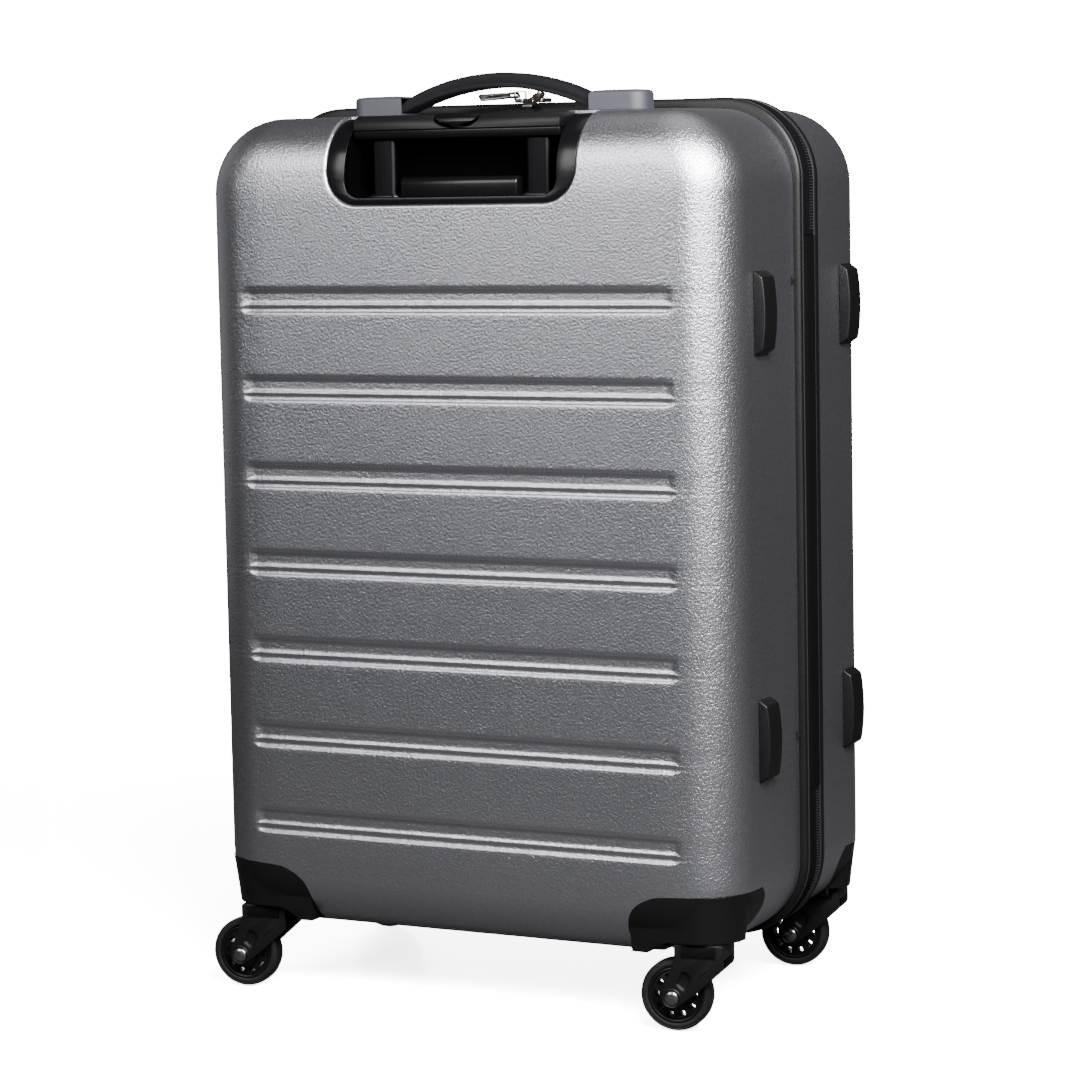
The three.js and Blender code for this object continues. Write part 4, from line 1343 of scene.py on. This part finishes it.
def lining(name, face_y, rim_y, side_y):
    """The cloth inside one half: over the tubes' ridge and the casters' boxes, lightly creased."""
    inward = 1 if rim_y > face_y else -1
    inset = LINING_INSET

    def spaced(marks, step):
        values = []
        for a, b in zip(marks, marks[1:]):
            count = max(int(abs(b - a) / step), 1)
            values += list(np.linspace(a, b, count, endpoint=False))
        return np.array(values + [marks[-1]])

    right = spaced([0, RIDGE_HALF - 2, RIDGE_HALF + 2, WELL_X - 1.5, WELL_X + 1.5, FACE_HALF], 7)
    u = np.concatenate([-right[::-1][:-1], right]) / FACE_HALF
    z = spaced([FACE_LOW, WELL_TOP - 1.5, WELL_TOP + 1.5, FACE_HIGH], 7)
    x, zz, bend, ring = face_grid(z, u)
    flat = np.stack([x, zz], -1).reshape(-1, 2)
    border = flat[ring]
    out = outwards(border)

    def depth(points, level):
        """Distance from the face of the case, pushed in over the ridge and the wells."""
        d = np.zeros(len(points)) + level
        if side_y < 0:
            ramp = smoothstep((RIDGE_HALF + 2 - np.abs(points[:, 0])) / 4)
            d = np.maximum(d, ramp * (abs(RIDGE_Y - face_y) - inset))
        well = smoothstep((np.abs(points[:, 0]) - WELL_X + 1.5) / 3) \
            * smoothstep((WELL_TOP + 1.5 - points[:, 1]) / 3)
        return np.maximum(d, well * (abs(abs(face_y) - WELL_Y) - inset))

    def layer(points, level):
        return np.column_stack([points[:, 0], face_y + inward * (inset + level), points[:, 1]])

    layers = [layer(flat, depth(flat, bend.ravel()))]
    for a in np.radians([12, 24, 36, 48, 60, 72, 82, 90]):
        offset, level = edge_point(max(a, FIRST_TILT), inset)
        points = border + out * offset
        layers.append(layer(points, depth(points, level - inset)))
    points = border + out * (EDGE_RADIUS - inset)
    start = depth(points, TURN_DEPTH - inset)
    total = abs(rim_y - face_y) - inset - 0.6
    layers += [layer(points, start + (total - start) * t) for t in np.linspace(0, 1, 10)[1:]]
    verts = np.concatenate(layers)
    faces = grid_faces(*x.shape) + ring_faces(skin_rings(ring, len(flat), len(layers) - 1))
    crease = 0.35 * np.sin(verts[:, 0] / 17 + verts[:, 2] / 41) * np.sin(verts[:, 2] / 29)
    crease += 0.25 * np.sin(verts[:, 0] / 7.3 - verts[:, 2] / 23)
    verts[:, 1] += inward * (crease + 0.6) * (np.abs(verts[:, 1] - rim_y) > 30)
    return thicken(tidy(put(name, verts, faces, LINING, 60), 1e-7), CLOTH, 60)


def flat_strip(name, points, width, y, thick, material):
    """A flat strap laid along a line of (x, z) points, with edges that keep its thickness."""
    points = np.asarray(points, float)
    tangent = unit_rows(np.gradient(points, axis=0))
    path = [(x, y, z) for x, z in points]
    across = [(-t[1], 0, t[0]) for t in tangent]
    half, lip = width / 2, thick / 2
    section = [(-half, -lip * 0.6), (-half + 1, -lip), (half - 1, -lip), (half, -lip * 0.6),
               (half, lip * 0.6), (half - 1, lip), (-half + 1, lip), (-half, lip * 0.6)]
    return sweep(name, path, across, [(0, 1, 0)] * len(path), section, material, sharp=40)


def build_linings():
    rear = lining("rear_lining_cloth", REAR_FACE, REAR_RIM, -1)
    ride(rear, "rear_case", "lining_fabric", "rear_lining")
    front = lining("front_lining_cloth", FRONT_FACE, FRONT_RIM, 1)
    ride(front, "front_case", "lining_fabric", "front_lining")


def build_cross_straps():
    """Two forked straps that meet in a buckle over the rear half."""
    low, high = box_of("strap_buckle")
    mid = (low[2] + high[2]) / 2
    strap_y = (box_of("cross_strap_left")[0][1] + box_of("cross_strap_left")[1][1]) / 2
    reach = box_of("cross_strap_right")[1][0]
    for side, label in SIDES:
        node = "cross_strap_" + label
        parts = []
        for up in (-1, 1):
            line = [(side * x, mid + up * h) for x, h in smooth_curve(
                [(20.6, 5.5), (40, 11), (80, 42), (140, 103), (reach - 0.3, 172)], 10)]
            parts.append(flat_strip(node + "_tape", line, 25, strap_y, 1.5, WEBBING))
        ride(join(node + "_webbing", parts), "rear_case", "strap_fabric", node)
    buckle = prism("buckle", rounded(low[0], high[0], low[2], high[2], 7, 8), low[1], high[1],
                   "Y", SATIN)
    for side in (-1, 1):
        grip = [(side * 20.5, mid - 9), (side * 15.5, mid - 6), (side * 15.5, mid + 6),
                (side * 20.5, mid + 9)]
        boolean(buckle, prism("finger", grip, low[1] - 3, high[1] + 3, "Y", None))
    groove = rounded(-9, 9, mid - 11, mid + 11, 3)
    boolean(buckle, prism("press", groove, high[1] - 1.2, high[1] + 3, "Y", None))
    ride(soften(buckle, 1.0, 3, 40), "rear_case", "black_plastic", "strap_buckle")


def build_pocket():
    """A stretched fabric pocket on the front lining, bound round its edge, with a zip on top."""
    low, high = box_of("mesh_pocket")
    width, height = high[0] - low[0] - 4, high[2] - low[2] - 4
    cx, cz = (low[0] + high[0]) / 2, (low[2] + high[2]) / 2
    across, tall = 61, 75
    u, v = np.linspace(-1, 1, across), np.linspace(-1, 1, tall)
    uu, vv = np.meshgrid(u, v)
    swell = (1 - uu**2) * (1 - vv**2)
    ripple = np.sin(uu * 19) * 0.22 * (1 + vv) * (1 - uu**2)
    y = high[1] - 1.4 - 1.5 * swell**0.5 + ripple
    top = np.stack([cx + uu * width / 2, y, cz + vv * height / 2], -1).reshape(-1, 3)
    panel = tidy(put("pocket_cloth", top, grid_faces(tall, across), MESH, 60), 1e-7)
    thicken(panel, CLOTH, 60)
    ride(panel, "front_case", "strap_fabric", "mesh_pocket")
    outline = rounded(cx - width / 2, cx + width / 2, cz - height / 2, cz + height / 2, 14, 8)
    points = np.array(outline)
    tangent = unit_rows(np.roll(points, -1, 0) - np.roll(points, 1, 0))
    path = [(x, high[1] - 1.5, z) for x, z in points]
    side = [(t[1], 0, -t[0]) for t in tangent]
    section = [(-4.5, -0.9), (-3.5, -1.3), (1, -1.3), (2, -0.9), (2, 0.9), (1, 1.2), (-3.5, 1.2),
               (-4.5, 0.9)]
    binding = sweep("pocket_binding", path, side, [(0, 1, 0)] * len(path), section, TAPE,
                    closed=True)
    ride(binding, "front_case", "strap_fabric")
    line = [(x, high[2] - 32) for x in np.linspace(-120, 120, 60)]
    tape = flat_strip("pocket_zip", line, 14, low[1] + 0.9, 1.2, TAPE)
    ride(tape, "front_case", "strap_fabric")
    cord = flat_strip("pocket_zip_coil", line, 4, low[1] + 0.2, 1.2, COIL)
    ride(cord, "front_case", "strap_fabric")


build_linings()
build_cross_straps()
build_pocket()

# ---------------------------------------------------------------- camera, light and floor

CAMERA_AZIMUTH = math.radians(27.0)
CAMERA_PITCH = math.radians(-6.14)
CAMERA_ROLL = math.radians(-1.10)
CAMERA_DISTANCE = 2556.7
CAMERA_TARGET = np.array([0, 0, 331.9])
CAMERA_LENS = 113.93


def build_camera():
    """The photograph's view."""
    az, pitch, roll = CAMERA_AZIMUTH, CAMERA_PITCH, CAMERA_ROLL
    forward = np.array([-math.sin(az) * math.cos(pitch), math.cos(az) * math.cos(pitch),
                        math.sin(pitch)])
    right = np.array([math.cos(az), math.sin(az), 0])
    up = np.cross(right, forward)
    turned_right = right * math.cos(roll) + up * math.sin(roll)
    turned_up = up * math.cos(roll) - right * math.sin(roll)
    place = (CAMERA_TARGET + MIDDLE - forward * CAMERA_DISTANCE) * MM
    data = bpy.data.cameras.new("camera")
    data.lens = CAMERA_LENS
    data.sensor_width = 36
    data.clip_end = 100
    camera = bpy.data.objects.new("camera", data)
    rotation = Matrix([turned_right, turned_up, -forward]).transposed().to_4x4()
    camera.matrix_world = Matrix.Translation(Vector(place)) @ rotation
    bpy.context.scene.collection.objects.link(camera)
    bpy.context.scene.camera = camera


def softbox(name, place, aim, width, height, power):
    """A soft area light at a place, facing a point, in metres."""
    data = bpy.data.lights.new(name, "AREA")
    data.shape = "RECTANGLE"
    data.size = width
    data.size_y = height
    data.energy = power
    light = bpy.data.objects.new(name, data)
    light.location = place
    light.rotation_euler = (Vector(place) - Vector(aim)).to_track_quat("Z", "Y").to_euler()
    bpy.context.scene.collection.objects.link(light)


def polar(azimuth, distance, height):
    """A place by its azimuth: 0 is straight behind the case, positive towards +X."""
    angle = math.radians(azimuth)
    return (distance * math.sin(angle), -distance * math.cos(angle), height)


def build_lights():
    softbox("right panel", polar(47, 1.35, 1.22), (0.15, -0.05, 0.5), 1.0, 0.75, 175)
    softbox("front panel", polar(-18, 1.6, 1.3), (0, -0.13, 0.55), 0.8, 0.9, 34)
    softbox("left panel", polar(-100, 1.8, 0.8), (-0.2, 0, 0.4), 1.5, 1.4, 2.2)
    softbox("back panel", polar(-150, 1.9, 0.34), (0, 0.1, 0.34), 1.1, 0.5, 42)
    softbox("top panel", (0.0, 0.3, 2.1), (0, 0, 0.5), 1.0, 1.0, 4)


def build_world():
    """White to the camera; a dark room for everything else."""
    world = bpy.data.worlds.new("studio")
    world.use_nodes = True
    bpy.context.scene.world = world
    tree = world.node_tree
    tree.nodes.clear()
    output = tree.nodes.new("ShaderNodeOutputWorld")
    white = tree.nodes.new("ShaderNodeBackground")
    white.inputs["Color"].default_value = (1, 1, 1, 1)
    white.inputs["Strength"].default_value = 18.0
    room = tree.nodes.new("ShaderNodeBackground")
    room.inputs["Color"].default_value = (0.035, 0.035, 0.036, 1)
    path = tree.nodes.new("ShaderNodeLightPath")
    mix = tree.nodes.new("ShaderNodeMixShader")
    tree.links.new(path.outputs["Is Camera Ray"], mix.inputs["Fac"])
    tree.links.new(room.outputs[0], mix.inputs[1])
    tree.links.new(white.outputs[0], mix.inputs[2])
    tree.links.new(mix.outputs[0], output.inputs["Surface"])


def build_floor():
    """A white floor that fades into the white surround, with soft shadows and reflections."""
    bpy.ops.mesh.primitive_circle_add(vertices=96, radius=4.0, fill_type="NGON")
    floor = bpy.context.object
    floor.name = "floor"
    floor.location.z = -0.0005
    n = Nodes("floor")
    n.tree.nodes.remove(n.shader)
    plain = n.add("ShaderNodeBsdfDiffuse", Color=(0.04, 0.04, 0.04, 1))
    bright = n.add("ShaderNodeBsdfDiffuse", Color=(9.0, 9.0, 9.0, 1))
    lift = n.add("ShaderNodeEmission", Color=(1, 1, 1, 1), Strength=4.0)
    gloss = n.add("ShaderNodeBsdfGlossy", Color=(0.5, 0.5, 0.5, 1), Roughness=0.12)
    both = n.add("ShaderNodeAddShader")
    n.give(both.inputs[0], bright.outputs[0])
    n.give(both.inputs[1], lift.outputs[0])
    shiny = n.mix(0.12, both.outputs[0], gloss.outputs[0])
    path = n.add("ShaderNodeLightPath")
    seen = n.mix(path.outputs["Is Camera Ray"], plain.outputs[0], shiny)
    distance = n.add("ShaderNodeVectorMath", Vector=n.place)
    distance.operation = "LENGTH"
    fade = n.add("ShaderNodeMapRange", Value=distance.outputs["Value"])
    fade.inputs["From Min"].default_value = 0.6
    fade.inputs["From Max"].default_value = 1.6
    clear = n.add("ShaderNodeBsdfTransparent")
    faded = n.mix(fade.outputs[0], seen, clear.outputs[0])
    n.give(n.tree.nodes["Material Output"].inputs["Surface"], faded)
    floor.data.materials.append(n.material)


build_camera()
build_world()
build_floor()
build_lights()

# ---------------------------------------------------------------- carried-over CAD nodes

NODE_MATERIALS = {
    "black_plastic": SATIN,
    "shell_grey": SHELL,
    "strap_fabric": WEBBING,
    "lining_fabric": LINING,
    "cap_grey": CAPS,
    "tube_aluminium": ALUMINIUM,
    "nickel_zip": NICKEL,
    "steel_pin": STEEL,
    "tyre_rubber": RUBBER,
    "hub_plastic": HUB,
}


def finish_nodes():
    """Every CAD node gets its slot's material, whether or not a finer piece stands for it."""
    for part in frame["record"]["subparts"]:
        node = frame["nodes"][part["node"]]
        node.data.materials.clear()
        node.data.materials.append(NODE_MATERIALS[part["material_slot"]])


finish_nodes()
